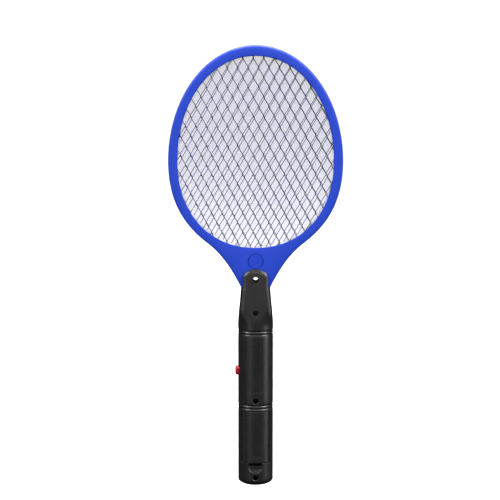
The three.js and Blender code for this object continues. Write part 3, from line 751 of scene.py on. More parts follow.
def expanded_metal(y, origin, turn, height):
    """A sheet slit and stretched into diamonds of a given height, with tilted strands.

    Each diamond's bond is a small six-sided face, and the strands join one bond to the next.
    """
    width, thickness = 10.7, 0.6
    bond, bond_half, strand = 1.4, 0.4, 0.6
    rows, columns = range(-22, 4), range(-20, 21)
    lean = {"top": -0.18, "bottom": 0.18, "upper": -0.08, "lower": 0.08}
    run, rise = width / 2, height / 2 - bond
    slant = math.hypot(run, rise)
    tip = bond / 2 + strand / 2 * slant / run
    shoulder = bond / 2 + (bond_half - strand / 2 * rise / slant) * rise / run
    shoulder -= strand / 2 * run / slant
    corners = [
        ("top", 0, tip), ("upper", bond_half, shoulder), ("lower", bond_half, -shoulder),
        ("bottom", 0, -tip), ("lower", -bond_half, -shoulder), ("upper", -bond_half, shoulder),
    ]
    turning = Matrix.Rotation(math.radians(turn), 2)
    pivot = Vector(origin)
    flat, tilt, faces, first = [], [], [], {}
    for row in rows:
        for column in columns:
            if (row + column) % 2:
                continue
            first[column, row] = len(flat)
            for kind, x, z in corners:
                flat.append(turning @ Vector((column * run + x, row * height / 2 + z)) + pivot)
                tilt.append(lean[kind])
    for (column, row), n in first.items():
        faces.append(tuple(range(n, n + 6)))
        right = first.get((column + 1, row + 1))
        left = first.get((column - 1, row + 1))
        if right is not None:
            faces.append((n + 1, n, right + 4, right + 3))
        if left is not None:
            faces.append((n, n + 5, left + 3, left + 2))
    points = []
    for level in (-thickness / 2, thickness / 2):
        points += [(p.x, y + lean_y + level, p.y) for p, lean_y in zip(flat, tilt)]
    return solid(points, thickened(faces, len(flat)))


def thickened(faces, count):
    """Faces of a plate from those of its front: front, back and a wall at each free edge."""
    used = set()
    for face in faces:
        used.update(zip(face, face[1:] + face[:1]))
    walls = []
    for a, b in used:
        if (b, a) not in used:
            walls.append((b, a, a + count, b + count))
    back = [tuple(i + count for i in reversed(face)) for face in faces]
    return list(faces) + back + walls


def outer_grid(node, origin, turn, height):
    """One of the two outer grids, trimmed to the frame, with its soldering tab."""
    low, high = node_box(node)
    y = (low.y + high.y) / 2
    sheet = expanded_metal(y, origin, turn, height)
    keep_inside(sheet, prism(opening(4.3), y - 2, y + 2))
    reshape(sheet, keep_largest_island)
    return join(sheet, tab(-10, low.z, HEAD_WIDEST - OPENING_DOWN - 1.5, y))


def tab(left, bottom, top, y=0.0):
    """A grid's soldering tab, seen from the front."""
    return block((left, y - 0.3, bottom), (left + 6, y + 0.3, top), 0.12)


def span_across(x, grow):
    """Lowest and highest height of the opening, moved out by grow, at a distance x."""
    level = abs(x / (OPENING_HALF_WIDTH + grow))
    ends = []
    for way in (-1, 1):
        reach, power = opening_end(way > 0, grow)
        ends.append(HEAD_WIDEST + way * reach * max(0, 1 - level**power) ** (1 / power))
    return ends


def reach_at(height, grow):
    """Half the width of the opening, moved out by grow, at a height."""
    reach, power = opening_end(height > HEAD_WIDEST, grow)
    level = min(1, abs(height - HEAD_WIDEST) / reach)
    return (OPENING_HALF_WIDTH + grow) * (1 - level**power) ** (1 / power)


def straight_wires(ends, radius):
    """Straight wires as one mesh, given the two ends of each."""
    sides, deep = 5, Vector((0, 1, 0))
    points, faces = [], []
    for a, b in ends:
        a, b = Vector(a), Vector(b)
        side = (b - a).cross(deep).normalized()
        first = len(points)
        last = first + sides
        for end in (a, b):
            points += [end + (side * c + deep * s) * radius for c, s in full_turn(sides)]
        for i in range(sides):
            k = (i + 1) % sides
            faces.append((first + i, first + k, last + k, last + i))
        faces += [tuple(range(first, last)), tuple(range(last, last + sides))]
    return solid(points, faces)


def centre_grid():
    """The live grid in the middle: fine crossed wires in a narrow steel rim, and its tab."""
    pitch, radius, grow = 0.75, 0.092, 3.4
    ends = []
    columns = int((OPENING_HALF_WIDTH + grow - 0.5) / pitch)
    for i in range(-columns, columns + 1):
        x = i * pitch
        low, high = span_across(x, grow)
        ends.append(((x, radius, low), (x, radius, high)))
    rows = int((OPENING_UP + grow) / pitch)
    for i in range(-rows, rows + 1):
        height = HEAD_WIDEST + i * pitch
        half = reach_at(height, grow)
        if half > 4:
            ends.append(((-half, -radius, height), (half, -radius, height)))
    wires = straight_wires(ends, radius)
    rim = flat_ring(grow - 0.6, grow + 1.0, -0.3, 0.3, 0.1)
    foot = node_box("grid_centre")[0].z
    return wires, join(rim, tab(3, foot, HEAD_WIDEST - OPENING_DOWN - grow))


def solder_joint():
    """The lump of solder that ties the centre grid's wires to its tab."""
    return flattened_ball((6, 0, HEAD_WIDEST - OPENING_DOWN + 0.7), (1.7, 0.6, 1.5))


def flat_ring(near, far, y0, y1, rounding):
    """A ring that follows the opening, from near to far outside it, with rounded edges."""
    profile = []
    for grow, y, start in ((far, y1, 0), (near, y1, 1), (near, y0, 2), (far, y0, 3)):
        inward = -1 if grow == far else 1
        down = -1 if y == y1 else 1
        for step in range(4):
            angle = math.pi / 2 * (start + step / 3)
            out = grow + rounding * (inward + math.cos(angle))
            profile.append((out, y + rounding * (down + math.sin(angle))))
    return loft([at_depth(opening(grow), y) for grow, y in profile], looped=True)


def spacer(node):
    """A plastic ring that keeps two grids apart."""
    low, high = node_box(node)
    return flat_ring(-0.8, 4.0, low.y, high.y, 0.3)


def head():
    """The two frame halves, the three grids and the spacers between them."""
    front = cut(head_half(-1), roundel())
    show(front, "frame_front_half", "frame_plastic", ["head_frame_front"], 24)
    show(head_half(1), "frame_rear_half", "frame_plastic", ["head_frame_rear"], 24)
    # The lip leaves out the tang, which is inside the handle.
    loop = inset(head_outline(), RIM_WALL - 0.6)[8:-11]
    show(seam_lip(loop, 0.7, 0.8), "frame_seam_lip", "frame_plastic")
    for node, name, origin, turn, height in (
        ("grid_front", "outer_grid_front", (2.6, 438), 0, 20.1),
        ("grid_rear", "outer_grid_rear", (3.4, 436.5), 0.65, 20.5),
    ):
        grid = outer_grid(node, origin, turn, height)
        show(grid, name, "grid_steel", [node])
    wires, rim = centre_grid()
    show(wires, "centre_grid_wires", "fine_grid_steel", ["grid_centre"], 80)
    show(rim, "centre_grid_rim", "fine_grid_steel")
    show(solder_joint(), "centre_grid_solder", "fine_grid_steel")
    for place in ("front", "rear"):
        node = "grid_spacer_" + place
        show(spacer(node), "spacer_ring_" + place, "spacer_plastic", [node])


# ---- the handle's skin ----
EDGE_STEPS = [0, 0.04, 0.12, 0.25, 0.45, 1.0, 1.7, 2.5, 3.2]
FACE_STEPS = 13
SIDE_STEPS = 8


def panel_half_width(height):
    if height <= ARCH_BASE:
        return smooth_table(PANEL, height)
    return ARCH_HALF_WIDTH * math.sqrt(max(0, 1 - ((height - ARCH_BASE) / ARCH_RISE) ** 2))


def panel_edge_distance(x, height, half):
    """How far a point of the panel is from the panel's edge."""
    if height <= ARCH_BASE:
        return half - abs(x)
    u, v = x / ARCH_HALF_WIDTH, (height - ARCH_BASE) / ARCH_RISE
    share = math.hypot(u, v)
    steep = math.hypot(u / ARCH_HALF_WIDTH, v / ARCH_RISE)
    return (1 - share) * share / steep


def dome(height):
    """The butt's rounded end: how much of its full size the section has at a height."""
    return math.sqrt(1 - (max(0, BUTT_RISE - height) / BUTT_RISE) ** 2)


def groove_at(height):
    """Depth of the ring grooves at a height: a soft wave for each."""
    depth = 0
    for groove in GROOVES:
        away = min(1, abs(height - groove) / GROOVE_HALF_WIDTH)
        depth += GROOVE_DEPTH * (1 + math.cos(math.pi * away)) / 2
    return depth


def section(height, shrink=0.0, tongue=False):
    """The front's section at a height, from the seam at +X to the middle of the face.

    shrink moves it inwards for the hollow. A tongue's section ends on the head's face.
    """
    scale = dome(height)
    half = smooth_table(SILHOUETTE, height) * scale - shrink
    depth = HALF_DEPTH * scale - shrink
    flat = smooth_table(PANEL_DEPTH, height) * scale - shrink
    edge = panel_half_width(height) * scale - shrink
    share = smoothstep(BLEND_FROM, BLEND_TO, height)

    def face_y(x):
        oval = -depth * math.sqrt(max(0, 1 - (x / half) ** 2)) if share < 1 else 0
        away = panel_edge_distance(x, height, edge)
        drop = BEVEL_DROP * min(1, max(0, 1 - away / BEVEL_WIDTH)) ** BEVEL_CURVE
        inside = PANEL_ROUNDING - min(PANEL_ROUNDING, max(0, away))
        drop += PANEL_ROUNDING - math.sqrt(PANEL_ROUNDING**2 - inside**2)
        crown = PANEL_CROWN * min(1, x / edge) ** 2 if edge > 0.01 else 0
        return mix(oval, (drop + crown) * share - flat, share)

    reach = min(1, edge / (2 * EDGE_STEPS[-1]))
    right = [edge - step * reach for step in EDGE_STEPS]
    right += [right[-1] * (1 - i / FACE_STEPS) for i in range(1, FACE_STEPS + 1)]
    face = [(x, face_y(x)) for x in right]
    corner = face[0][1]
    turn = math.acos(min(1, edge / half)) if half > 0.01 else 0
    side = []
    for i in range(1, SIDE_STEPS + 1):
        along = i / SIDE_STEPS
        if tongue:
            side.append((edge, mix(corner, -TONGUE_INNER, along)))
            continue
        oval = (half * math.cos(turn * (1 - along)), -depth * math.sin(turn * (1 - along)))
        bulge = 1 - (1 - along) ** WALL_CURVE
        wall = (mix(edge, half, bulge), mix(corner, 0, along))
        side.append((mix(oval[0], wall[0], share), mix(oval[1], wall[1], share)))
    return list(reversed(side)) + face


def mirrored(half_section):
    """The whole width of a section from its +X half."""
    left = [(-x, y) for x, y in half_section]
    return left + list(reversed(half_section[:-1]))


def pressed_in(point, depth):
    """Moves a point of a section towards the axis."""
    x, y = point
    radius = math.hypot(x, y)
    share = 1 - depth / radius if radius > depth else 1
    return (x * share, y * share)


def skin_row(height, chamfer=0.0, tongue=False):
    """A row of the outside of the front half, ending in a small chamfer at the seam."""
    half = section(height, tongue=tongue)
    if not tongue:
        half = [pressed_in(p, groove_at(height)) for p in half]
        half = [(max(0, x - chamfer), min(y, -SEAM - 0.25)) for x, y in half]
        half.insert(0, (max(0, half[0][0] - 0.25), -SEAM))
    else:
        half.insert(0, half[0])
    return [(x, y, height) for x, y in mirrored(half)]


def row_heights():
    """Heights of the rows of the handle's body: close together where the shape turns."""
    rows = [BUTT_RISE * (1 - math.cos(angle)) for angle in quarter(12, 1)]
    grooves = []
    for groove in GROOVES:
        grooves += [groove + GROOVE_HALF_WIDTH * step / 6 for step in range(-6, 7)]
    plain = [10 + 3 * i for i in range(52)]
    plain = [h for h in plain if all(abs(h - groove) > 1.6 for groove in GROOVES)]
    upper = [167 + 1.4 * i for i in range(30)]
    return sorted(rows + grooves + plain + upper)


def handle_body():
    """The outside of the front half of the handle as a solid, tongue and all."""
    rows = [[(0, -SEAM, 0)] * len(skin_row(50))]
    rows += [skin_row(height) for height in row_heights()]
    rows.append(skin_row(HANDLE_TOP - 0.3))
    rows.append(skin_row(HANDLE_TOP, chamfer=0.3))
    tongue = [HANDLE_TOP] + [210 + 1.5 * i for i in range(6)]
    tongue += [ARCH_BASE + ARCH_RISE * math.sin(angle) for angle in quarter(18)]
    rows += [skin_row(height, tongue=True) for height in tongue]
    return loft(rows)


def handle_hollow(shrink=WALL, low=INNER_FLOOR, high=HANDLE_TOP - WALL):
    """The space inside the front half, carried past the seam so that it cuts right through."""
    past = 1
    heights = [low, 4.4, 5.6, BUTT_RISE, 30, 60, 90, 120, 150, 166]
    heights += [167 + 2 * i for i in range(20)] + [high]
    rows = []
    for height in sorted(h for h in heights if low <= h <= high):
        half = section(height, shrink)
        half = [(x, min(y, past)) for x, y in half]
        half.insert(0, (half[0][0], past))
        rows.append([(x, y, height) for x, y in mirrored(half)])
    return loft(rows)


def to_rear(piece):
    """Turns a front half into a rear half."""
    piece.data.transform(Matrix.Diagonal((1, -1, 1, 1)))
    piece.data.flip_normals()
    return piece


def surface(x, height):
    """Place of the front skin in Y, and the direction that it faces there.

    The grooves, and the panel's bevel and crown, are left out.
    """
    def depth_at(x, height):
        share = smoothstep(BLEND_FROM, BLEND_TO, height)
        oval = HALF_DEPTH * math.sqrt(1 - (x / smooth_table(SILHOUETTE, height)) ** 2)
        return mix(oval, smooth_table(PANEL_DEPTH, height), share)

    step = 0.05
    here = depth_at(x, height)
    slope_x = (depth_at(x + step, height) - depth_at(x - step, height)) / (2 * step)
    slope_z = (depth_at(x, height + step) - depth_at(x, height - step)) / (2 * step)
    return -here, Vector((-slope_x, -1, -slope_z)).normalized()


def on_skin(outline):
    """An outline in x and height laid on the front skin: its points and outward directions."""
    path, outward = [], []
    for x, height in outline:
        y, out = surface(x, height)
        path.append((x, y, height))
        outward.append(out)
    return path, outward


def chamfer_on_skin(outline, size):
    path, outward = on_skin(outline)
    return bead(path, outward, size)


def rounded_rectangle(x0, x1, z0, z1, radius, straight=10):
    """An anticlockwise rounded rectangle, with points along its straight sides."""
    corners = [(x1 - radius, z0 + radius), (x1 - radius, z1 - radius)]
    corners += [(x0 + radius, z1 - radius), (x0 + radius, z0 + radius)]
    arcs = []
    for i, (x, z) in enumerate(corners):
        turns = [angle + (i - 1) * math.pi / 2 for angle in quarter(5)]
        arcs.append([(x + radius * math.cos(a), z + radius * math.sin(a)) for a in turns])
    outline = []
    for i, arc in enumerate(arcs):
        (x, z), (next_x, next_z) = arc[-1], arcs[(i + 1) % 4][0]
        shares = [k / straight for k in range(1, straight)]
        outline += arc + [(mix(x, next_x, share), mix(z, next_z, share)) for share in shares]
    return outline


def ring_outline(height, radius):
    return [(radius * c, height + radius * s) for c, s in full_turn(40)]


# ---- cuts in the handle ----
def screw_recess(node):
    """The deep round recess over a screw, and the shank's hole below it."""
    low, high = node_box(node)
    seat = low.y + SCREW_HEAD + GAP
    profile = [(-20, RECESS_RADIUS), (seat, RECESS_RADIUS), (seat, 1.6), (high.y + GAP, 1.6)]
    return lathe((0, 0, SCREW_HEIGHTS[node]), "y", profile)


def bosses():
    """Posts that the screws hold, from just inside the skin to the seam or to the tang."""
    made = []
    for node, height in SCREW_HEIGHTS.items():
        near = TONGUE_INNER if node == "screw_neck" else SEAM
        made.append(peg((0, 0, height), "y", -near, surface(0, height)[0] + 1, BOSS_RADIUS))
    return made


def button_outline(grow, radius):
    """The button's outline, as (y, height), moved out by grow."""
    deep, tall = BUTTON_HALF_DEPTH + grow, BUTTON_HALF_HEIGHT + grow
    return rounded_rectangle(-deep, deep, BUTTON_HEIGHT - tall, BUTTON_HEIGHT + tall, radius, 4)


def button_hole():
    outline = button_outline(GAP, 2.7)
    return loft([[(x, y, z) for y, z in outline] for x in (-30, -12)])


def button_hole_chamfer():
    path, outward = [], []
    for y, z in button_outline(GAP, 2.7):
        x = -HALF_WIDTH * math.sqrt(1 - (y / HALF_DEPTH) ** 2)
        path.append((x, y, z))
        outward.append(Vector((x / HALF_WIDTH**2, y / HALF_DEPTH**2, 0)))
    return bead(path, outward, 0.35)


def dimple_outline(grow):
    """The finger dimple below the latch, moved out by grow: flat on top, half round below."""
    half, drop = DIMPLE_HALF_WIDTH + grow, DIMPLE_TOP - DIMPLE_BOTTOM + grow
    turns = [math.pi + math.pi * i / 24 for i in range(25)]
    return [(half * math.cos(a), DIMPLE_TOP + drop * math.sin(a)) for a in turns]


def dimple_floor(height):
    """Depth of the dimple's floor, which runs out towards the butt."""
    return mix(-14.7, -13.6, smoothstep(DIMPLE_BOTTOM, DIMPLE_TOP, height))


def dimple():
    """The dimple's cutter, with steep walls."""
    mouth, floor = dimple_outline(0.35), dimple_outline(-0.35)
    rings = [at_depth(mouth, -20)]
    rings.append([(x, surface(x, z)[0] + 0.02, z) for x, z in mouth])
    rings.append([(x, dimple_floor(z), z) for x, z in floor])
    return loft(rings)


def dimple_ribs():
    """Fine ribs across the dimple's floor, for the fingertip."""
    ribs = []
    for rise, half in ((1.8, 3.6), (3.1, 4.9), (4.4, 5.7)):
        height = DIMPLE_BOTTOM + rise
        line = [(x, dimple_floor(height), height) for x in spread(half, 12)]
        ribs.append(bead(line, [(0, -1, 0)] * len(line), 0.32, looped=False))
    return ribs


def front_cuts(half):
    """The openings that only the front half has."""
    low, high = node_box("battery_door")
    window = rounded_rectangle(
        low.x - GAP, high.x + GAP, DOOR_BOTTOM - 0.4, DOOR_TOP + GAP, 1.2, 24,
    )
    slot = rounded_rectangle(-SLOT_HALF_WIDTH, SLOT_HALF_WIDTH, SLOT_BOTTOM, SLOT_TOP, 0.5, 8)
    label = rounded_rectangle(
        -LABEL_HALF_WIDTH, LABEL_HALF_WIDTH, LABEL_BOTTOM, LABEL_TOP, 2.2, 16,
    )
    below_skin = handle_hollow(LABEL_DEPTH, LABEL_BOTTOM - 10, LABEL_TOP + 10)
    panel = cut(prism(label, -22, -6), below_skin)
    cut(half, prism(window, -22, -5), prism(slot, -22, -10), panel, dimple())
    join(half, *dimple_ribs())
    cut(half, chamfer_on_skin(window, 0.4), chamfer_on_skin(label, 0.14))


def shell():
    """A front half of the handle: skin, hollow, bosses, and the cuts that both halves share."""
    half = cut(handle_body(), handle_hollow())
    join(half, *bosses())
    hole = (0, 0, HOLE_HEIGHT)
    join(half, peg(hole, "y", -SEAM, surface(0, HOLE_HEIGHT)[0] + 1, SPIGOT_RADIUS))
    tang = TANG_HALF_WIDTH + GAP
    cut(
        half,
        block((-tang, -TONGUE_INNER, TANG_BOTTOM - 2), (tang, 2, HANDLE_TOP + 1)),
        peg(hole, "y", -20, 0, HOLE_RADIUS),
        chamfer_on_skin(ring_outline(HOLE_HEIGHT, HOLE_RADIUS), 0.4),
        button_hole(),
        button_hole_chamfer(),
    )
    return half


def front_shell():
    half = shell()
    front_cuts(half)
    for node, height in SCREW_HEIGHTS.items():
        rim = chamfer_on_skin(ring_outline(height, RECESS_RADIUS), 0.3)
        cut(half, screw_recess(node), rim)
    show(half, "handle_front_moulding", "handle_plastic", ["handle_shell_front"], 28)


def bulkhead(low, high):
    """A wall across the battery space, standing on the rear half."""
    def arc(half, deep, start, end, count):
        turns = [mix(start, end, i / count) for i in range(count + 1)]
        return [(half * math.cos(a), deep * math.sin(a)) for a in turns]

    front = -8.8
    inner_half, inner_depth = HALF_WIDTH - WALL - GAP, HALF_DEPTH - WALL - GAP
    corner = math.asin(front / inner_depth)
    rear = arc(HALF_WIDTH - 1.5, HALF_DEPTH - 1.9, 0, math.pi, 48)
    ring = [(x, y + 0.4) for x, y in rear]
    ring += arc(inner_half, inner_depth, math.pi, math.pi - corner, 8)
    ring += arc(inner_half, inner_depth, corner, 0, 8)
    return loft([[(x, y, z) for x, y in ring] for z in (low, high)])


def rear_shell():
    """The rear half, with the battery bulkheads, the board's posts and the lamp's hole."""
    half = to_rear(shell())
    join(half, *[bulkhead(low, low + 1.6) for low in BULKHEADS])
    for height in BOARD_POSTS:
        join(half, *[peg((x, 0, height), "y", 7.1, 11.4, 2, 24) for x in (-8, 8)])
    cut(half, peg((0, 0, LED_HEIGHT), "y", 10, 20, LED_RADIUS + GAP, 24))
    # The battery leads pass the upper bulkhead through two holes.
    cut(half, *[peg((x, 9.2, 81), "z", -1, 3, 1.3, 20) for x in (-9, 9)])
    for node, height in SCREW_HEIGHTS.items():
        cut(half, peg((0, 0, height), "y", 0, node_box(node)[1].y + GAP, 1.15, 20))
    show(half, "handle_rear_moulding", "handle_plastic", ["handle_shell_rear"], 28)


def handle_lip():
    """A thin lip inside the handle's seam, open where the button goes in."""
    heights = [200 - 8 * i for i in range(24)] + [13, 10, 7.5, 5.5, 4, 2.8, 1.9]
    half = [(smooth_table(SILHOUETTE, h) * dome(h) - WALL - 0.2, h) for h in heights]
    half += [(share * half[-1][0], 1.2) for share in (0.9, 0.6, 0.2)]
    outline = [Vector(p) for p in reversed(half)] + [Vector((-x, h)) for x, h in half]
    lip = cut(seam_lip(outline, 0, -0.8), button_hole())
    show(lip, "handle_seam_lip", "handle_plastic")


# ---- the battery door ----
def door():
    """The door: a patch of the same skin, with a latch finger and two hooks."""
    low, high = node_box("battery_door")
    edge = 0.15
    outline = rounded_rectangle(low.x + edge, high.x - edge, DOOR_BOTTOM, DOOR_TOP, 0.9, 24)
    panel = cut(handle_body(), handle_hollow())
    keep_inside(panel, prism(outline, -20, -4))
    for x in (-5, 5):
        root = block((x - 2, -14, HOOK_FOOT), (x + 2, -10.2, DOOR_TOP - 0.4), 0.2)
        hook = block((x - 2, -11.7, HOOK_FOOT), (x + 2, -10.2, high.z), 0.3)
        join(panel, root, hook)
    latch, top = LATCH_HALF_WIDTH, DOOR_BOTTOM + 3
    root = block((-latch, -13.8, DOOR_BOTTOM + 0.3), (latch, -12, top), 0.25)
    join(panel, root, block((-latch, -12.9, low.z), (latch, -12, top), 0.25))
    cut(panel, chamfer_on_skin(outline, 0.4))
    for height, half in ((31, 7.5), (32.8, 9)):
        path, outward = on_skin([(x, height) for x in spread(half, 20)])
        cut(panel, bead(path, outward, run_out(20), looped=False))
    show(panel, "battery_door_panel", "handle_plastic", ["battery_door"], 28, "door")


# ---- the button ----
def button():
    """The push button: a domed cap with finger ribs, and the lip that holds it in."""
    low, high = node_box("push_button")
    crown = 2.2
    steps = [(high.x, 0.4), (high.x - 0.4, 0), (low.x + crown, 0)]
    for angle in quarter(6, 1):
        steps.append((low.x + crown * (1 - math.sin(angle)), 1.7 * (1 - math.cos(angle))))
    rings = []
    for x, shrink in steps:
        outline = button_outline(-shrink, 2.4 - shrink * 0.6)
        rings.append([(x, y, z) for y, z in outline])
    cap = loft(rings)
    join(cap, block((-15, -3.8, BUTTON_HEIGHT - 6), (high.x, 3.8, BUTTON_HEIGHT + 6), 0.2))
    for rise in (-1.5, 0, 1.5):
        line = [(low.x, y, BUTTON_HEIGHT + rise) for y in spread(2.6, 12)]
        cut(cap, bead(line, [(-1, 0, 0)] * len(line), run_out(12), looped=False))
    show(cap, "button_cap", "button_plastic", ["push_button"], body="button")


# ---- screws, cells and springs ----
def screw(node):
    """A self-tapping screw: domed head with a cross recess, and a threaded shank."""
    low, high = node_box(node)
    height = SCREW_HEIGHTS[node]
    top, seat = low.y, low.y + SCREW_HEAD
    radius = 2.6
    profile = [(top + 0.5 * (1 - math.cos(a)), radius * math.sin(a)) for a in quarter(6)]
    profile += [(seat - 0.15, radius), (seat, radius - 0.15), (seat, 1.1), (seat + 0.6, 1.0)]
    head = lathe((0, 0, height), "y", profile, 36)
    for half_x, half_z in ((1.35, 0.32), (0.32, 1.35)):
        cut(head, block((-half_x, top - 1, height - half_z), (half_x, top + 1.1, height + half_z)))
    shank = thread(height, seat + 0.3, high.y)
    show(join(head, shank), node + "_fastener", "screw_steel", [node])


def thread(height, start, end):
    """A threaded rod along Y, with a pointed end."""
    pitch, root, crest, sides = 0.95, 0.82, 1.2, 20
    steps = int((end - start) / pitch * 6)
    rings = []
    for i in range(steps + 1):
        y = mix(start, end, i / steps)
        taper = min(1, (end - y) / 1.6) ** 0.7 if y < end else 0
        ring = []
        for k, (cosine, sine) in enumerate(full_turn(sides)):
            phase = (y - start) / pitch - k / sides
            ridge = max(0, 1 - 3.2 * abs(phase - round(phase)))
            radius = mix(root, crest, ridge) * taper
            ring.append((radius * cosine, y, height + radius * sine))
        rings.append(ring)
    return loft(rings)


def cell(node, upward, jacket):
    """An AA cell: crimped film round its ends, steel caps and the positive nub."""
    low, high = node_box(node)
    middle = node_middle(node)
    radius, nub = 7.1, 1.0
    length = high.z - low.z - nub
    can = [(0, 4.6), (0, 6.0), (0.35, 6.4), (0.35, 6.55), (0, 6.75), (0.25, 7.0), (0.6, radius)]
    can += [(length - 0.6, radius), (length - 0.2, 6.95), (length, 6.6), (length - 0.4, 6.2)]
    can += [(length - 0.4, 3.2), (length + nub - 0.25, 2.75), (length + nub, 2.5)]
    start, turn = (low.z, 1) if upward else (high.z, -1)
    body = lathe((middle.x, middle.y, start), "z", [(turn * a, r) for a, r in can], 48)
    show(body, node + "_cell", "battery_jacket", [node], material=jacket)


def spring(node, wide_first):
    """A conical battery spring of round wire."""
    low, high = node_box(node)
    wire, turns, count = 0.35, 3.4, 120
    radii = (5.0, 2.8) if wide_first else (2.8, 5.0)
    up = Vector((0, 0, 1))
    rings = []
    for i in range(count + 1):
        share = i / count
        angle = 2 * math.pi * turns * share
        out = Vector((math.cos(angle), math.sin(angle), 0))
        centre = node_middle(node) + out * mix(*radii, share)
        centre.z = mix(low.z + wire, high.z - wire, smoothstep(0.08, 0.92, share))
        rings.append([centre + wire * (out * c + up * s) for c, s in full_turn(10)])
    show(loft(rings), node + "_coil", "contact_steel", [node], 60)


# ---- the circuit ----
def legs(places, y0, y1, radius=LEG_RADIUS):
    """Component legs along Y at (x, height) places."""
    return [peg((x, 0, z), "y", y0, y1, radius, 10) for x, z in places]


def axial(node, radius, half, slot_name):
    """A diode or resistor: a barrel with rounded ends on a bent wire."""
    low, high = node_box(node)
    place = node_middle(node)
    place.y = low.y + radius
    if slot_name == "component_black":
        end = [(-half, radius * 0.86), (-half + 0.2, radius)]
    else:
        end = [(-half, 0.35), (-half + 0.1, radius * 0.8), (-half + 0.5, radius)]
        end += [(-half + 1.2, radius), (-half + 1.5, radius * 0.88)]
    barrel = lathe(place, "x", symmetrical(end), 28)
    reach = half + 1.3
    wire = reach + LEG_RADIUS
    join(barrel, peg(place, "x", -wire, wire, LEG_RADIUS, 10))
    join(barrel, *legs([(place.x + way, place.z) for way in (-reach, reach)], place.y, high.y))
    show(barrel, node + "_part", slot_name, [node])


def disc_capacitor(node):
    """A lens-shaped ceramic capacitor that stands on two legs."""
    low, high = node_box(node)
    place = node_middle(node)
    radius = (high.z - low.z) / 2
    place.y = low.y + radius
    side = [(-1.4, 0.4), (-1.35, 1.6), (-1.0, 2.8), (-0.5, radius - 0.1)]
    disc = lathe(place, "x", symmetrical(side), 36)
    join(disc, *legs([(place.x, place.z - 2), (place.x, place.z + 2)], 2, high.y))
    show(disc, node + "_part", "ceramic_capacitor", [node])


def indicator():
    """The indicator lamp: a domed lens on its flange, with two legs."""
    low, high = node_box("indicator_led")
    shoulder = high.y - LED_RADIUS
    profile = [(9.2, 1.9), (10.1, 1.9), (10.2, LED_RADIUS), (shoulder, LED_RADIUS)]
    for angle in quarter(6, 1):
        profile.append((shoulder + LED_RADIUS * math.sin(angle), LED_RADIUS * math.cos(angle)))
    lens = lathe((0, 0, LED_HEIGHT), "y", profile, 28)
    join(lens, *legs([(-0.9, LED_HEIGHT), (0.9, LED_HEIGHT)], low.y, 9.6, 0.25))
    show(lens, "indicator_lens", "led_lens", ["indicator_led"], 50)


def circuit():
    """The parts on the board that are turned shapes."""
    for i in (1, 2, 3):
        axial("diode_" + str(i), 1.2, 2, "component_black")
    for use, radius, half in (("base", 1.2, 2.5), ("led", 1.2, 2.5), ("bleed", 1.4, 3)):
        axial("resistor_" + use, radius, half, "resistor_coat")
    disc_capacitor("multiplier_capacitor_1")
    disc_capacitor("multiplier_capacitor_2")
    indicator()


KEPT_NODES = {
    "component_black": ["switch_plunger", "switch_body", "transistor"],
    "contact_steel": ["contact_link", "contact_positive", "contact_negative"],
    "board": ["circuit_board"],
    "ferrite": ["transformer_core"],
    "winding_tape": ["transformer_winding"],
    "film_capacitor": ["storage_capacitor"],
}
KEPT_LEADS = {
    "red_wire": ["lead_high_voltage", "lead_battery_positive"],
    "black_wire": ["lead_ground", "lead_ground_bridge", "lead_battery_negative"],
}


def dress(node, slot_name, rounding):
    """Gives a CAD node its finish, with its edges rounded over or its tube smoothed."""
    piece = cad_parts[node]
    paint(piece, slot_name)
    weld = piece.modifiers.new("weld", "WELD")
    weld.merge_threshold = 1e-6
    if rounding:
        soften = piece.modifiers.new("rounding", "BEVEL")
        soften.width = rounding * MM
        soften.segments = 2
        soften.limit_method = "ANGLE"
        soften.angle_limit = math.radians(40)
    else:
        piece.modifiers.new("tube", "SUBSURF").render_levels = 2


def kept_nodes():
    """The CAD nodes that are shown as they are, but with a finish of their own."""
    for kept, rounding in ((KEPT_NODES, 0.12), (KEPT_LEADS, 0)):
        for slot_name, nodes in kept.items():
            for node in nodes:
                dress(node, slot_name, rounding)


# ---- floor, light and camera ----
FLOOR_DROP = 70
FLOOR_REACH = 30
CAMERA_ELEVATION = 9.5
CAMERA_LENS = 250
CAMERA_DISTANCE = 3.584
CAMERA_AIM = (-5.8, 0, 248)


def studio_floor():
    """A pale floor that reaches past the edges of the picture."""
    far = FLOOR_REACH / MM
    corners = [(-far, -far), (far, -far), (far, far), (-far, far)]
    floor = solid([(x, y, -FLOOR_DROP) for x, y in corners], [(0, 1, 2, 3)])
    floor.name = "studio_floor"
    floor.data.materials.append(floor_paper("studio_floor", (0.9, 0.9, 0.9, 1)))
    # The swatter is lit by the soft boxes and the dim room, as if the floor were far below it.
    floor.visible_glossy = False
    floor.visible_diffuse = False


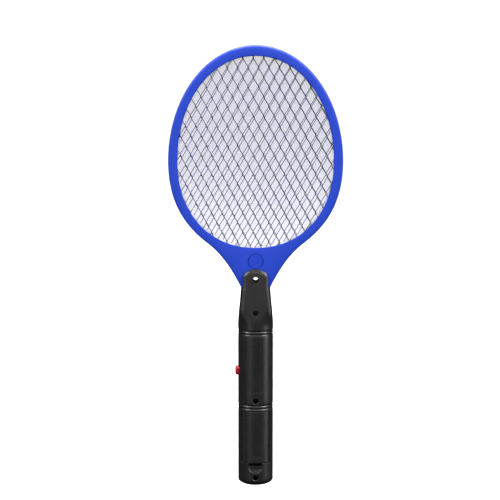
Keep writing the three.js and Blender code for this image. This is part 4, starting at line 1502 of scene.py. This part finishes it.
def aim_from(piece, target, azimuth, elevation, distance):
    """Puts a lamp or camera at a distance from the target, in metres, and turns it to face it."""
    turn, lift = math.radians(azimuth), math.radians(elevation)
    level = math.cos(lift)
    away = Vector((math.sin(turn) * level, -math.cos(turn) * level, math.sin(lift)))
    piece.location = to_frame(target) + away * distance
    piece.rotation_euler = (-away).to_track_quat("-Z", "Y").to_euler()


def soft_box(name, azimuth, elevation, distance, size, power):
    """A rectangular soft light that faces the swatter. Azimuth 0 is the camera's side."""
    data = bpy.data.lights.new(name, "AREA")
    data.shape = "RECTANGLE"
    data.size, data.size_y = size
    data.energy = power
    lamp = in_scene(name, data)
    aim_from(lamp, (0, 0, 200), azimuth, elevation, distance)
    lamp.visible_camera = False


def overhead_light(strength):
    """Even light from straight above, which keeps the floor white."""
    data = bpy.data.lights.new("overhead", "SUN")
    data.energy = strength
    data.angle = math.radians(40)
    in_scene("overhead", data).visible_glossy = False


def studio_light():
    world = bpy.data.worlds.new("studio")
    world.use_nodes = True
    background = world.node_tree.nodes["Background"]
    background.inputs["Color"].default_value = (1, 1, 1, 1)
    background.inputs["Strength"].default_value = 0.045
    bpy.context.scene.world = world
    overhead_light(3.7)
    soft_box("key_right", 60, 37, 2.2, (0.5, 1.3), 52)
    soft_box("fill_left", -56, 34, 2.2, (0.5, 1.3), 42)
    soft_box("strip_right", 65, -3, 1.5, (0.5, 0.6), 5)
    soft_box("front_low", 6, 24, 1.5, (0.5, 0.25), 4.2)
    soft_box("strip_left", -32, -4, 1.5, (0.4, 0.6), 1.6)
    soft_box("front", 0, 66, 2.6, (2.0, 0.9), 14)
    soft_box("back", 180, 55, 1.6, (1.2, 0.7), 34)


def camera():
    data = bpy.data.cameras.new("camera")
    data.lens = CAMERA_LENS
    data.sensor_width = 36
    piece = in_scene("camera", data)
    aim_from(piece, CAMERA_AIM, 0, CAMERA_ELEVATION, CAMERA_DISTANCE)
    bpy.context.scene.camera = piece


def build():
    head()
    front_shell()
    rear_shell()
    handle_lip()
    door()
    button()
    for node in SCREW_HEIGHTS:
        screw(node)
    cell("battery_1", True, CELL_LOOKS[0])
    cell("battery_2", False, CELL_LOOKS[1])
    spring("spring_lower", True)
    spring("spring_upper", False)
    circuit()
    kept_nodes()
    studio_floor()
    studio_light()
    camera()
    bpy.context.scene.view_settings.view_transform = "Standard"


build()
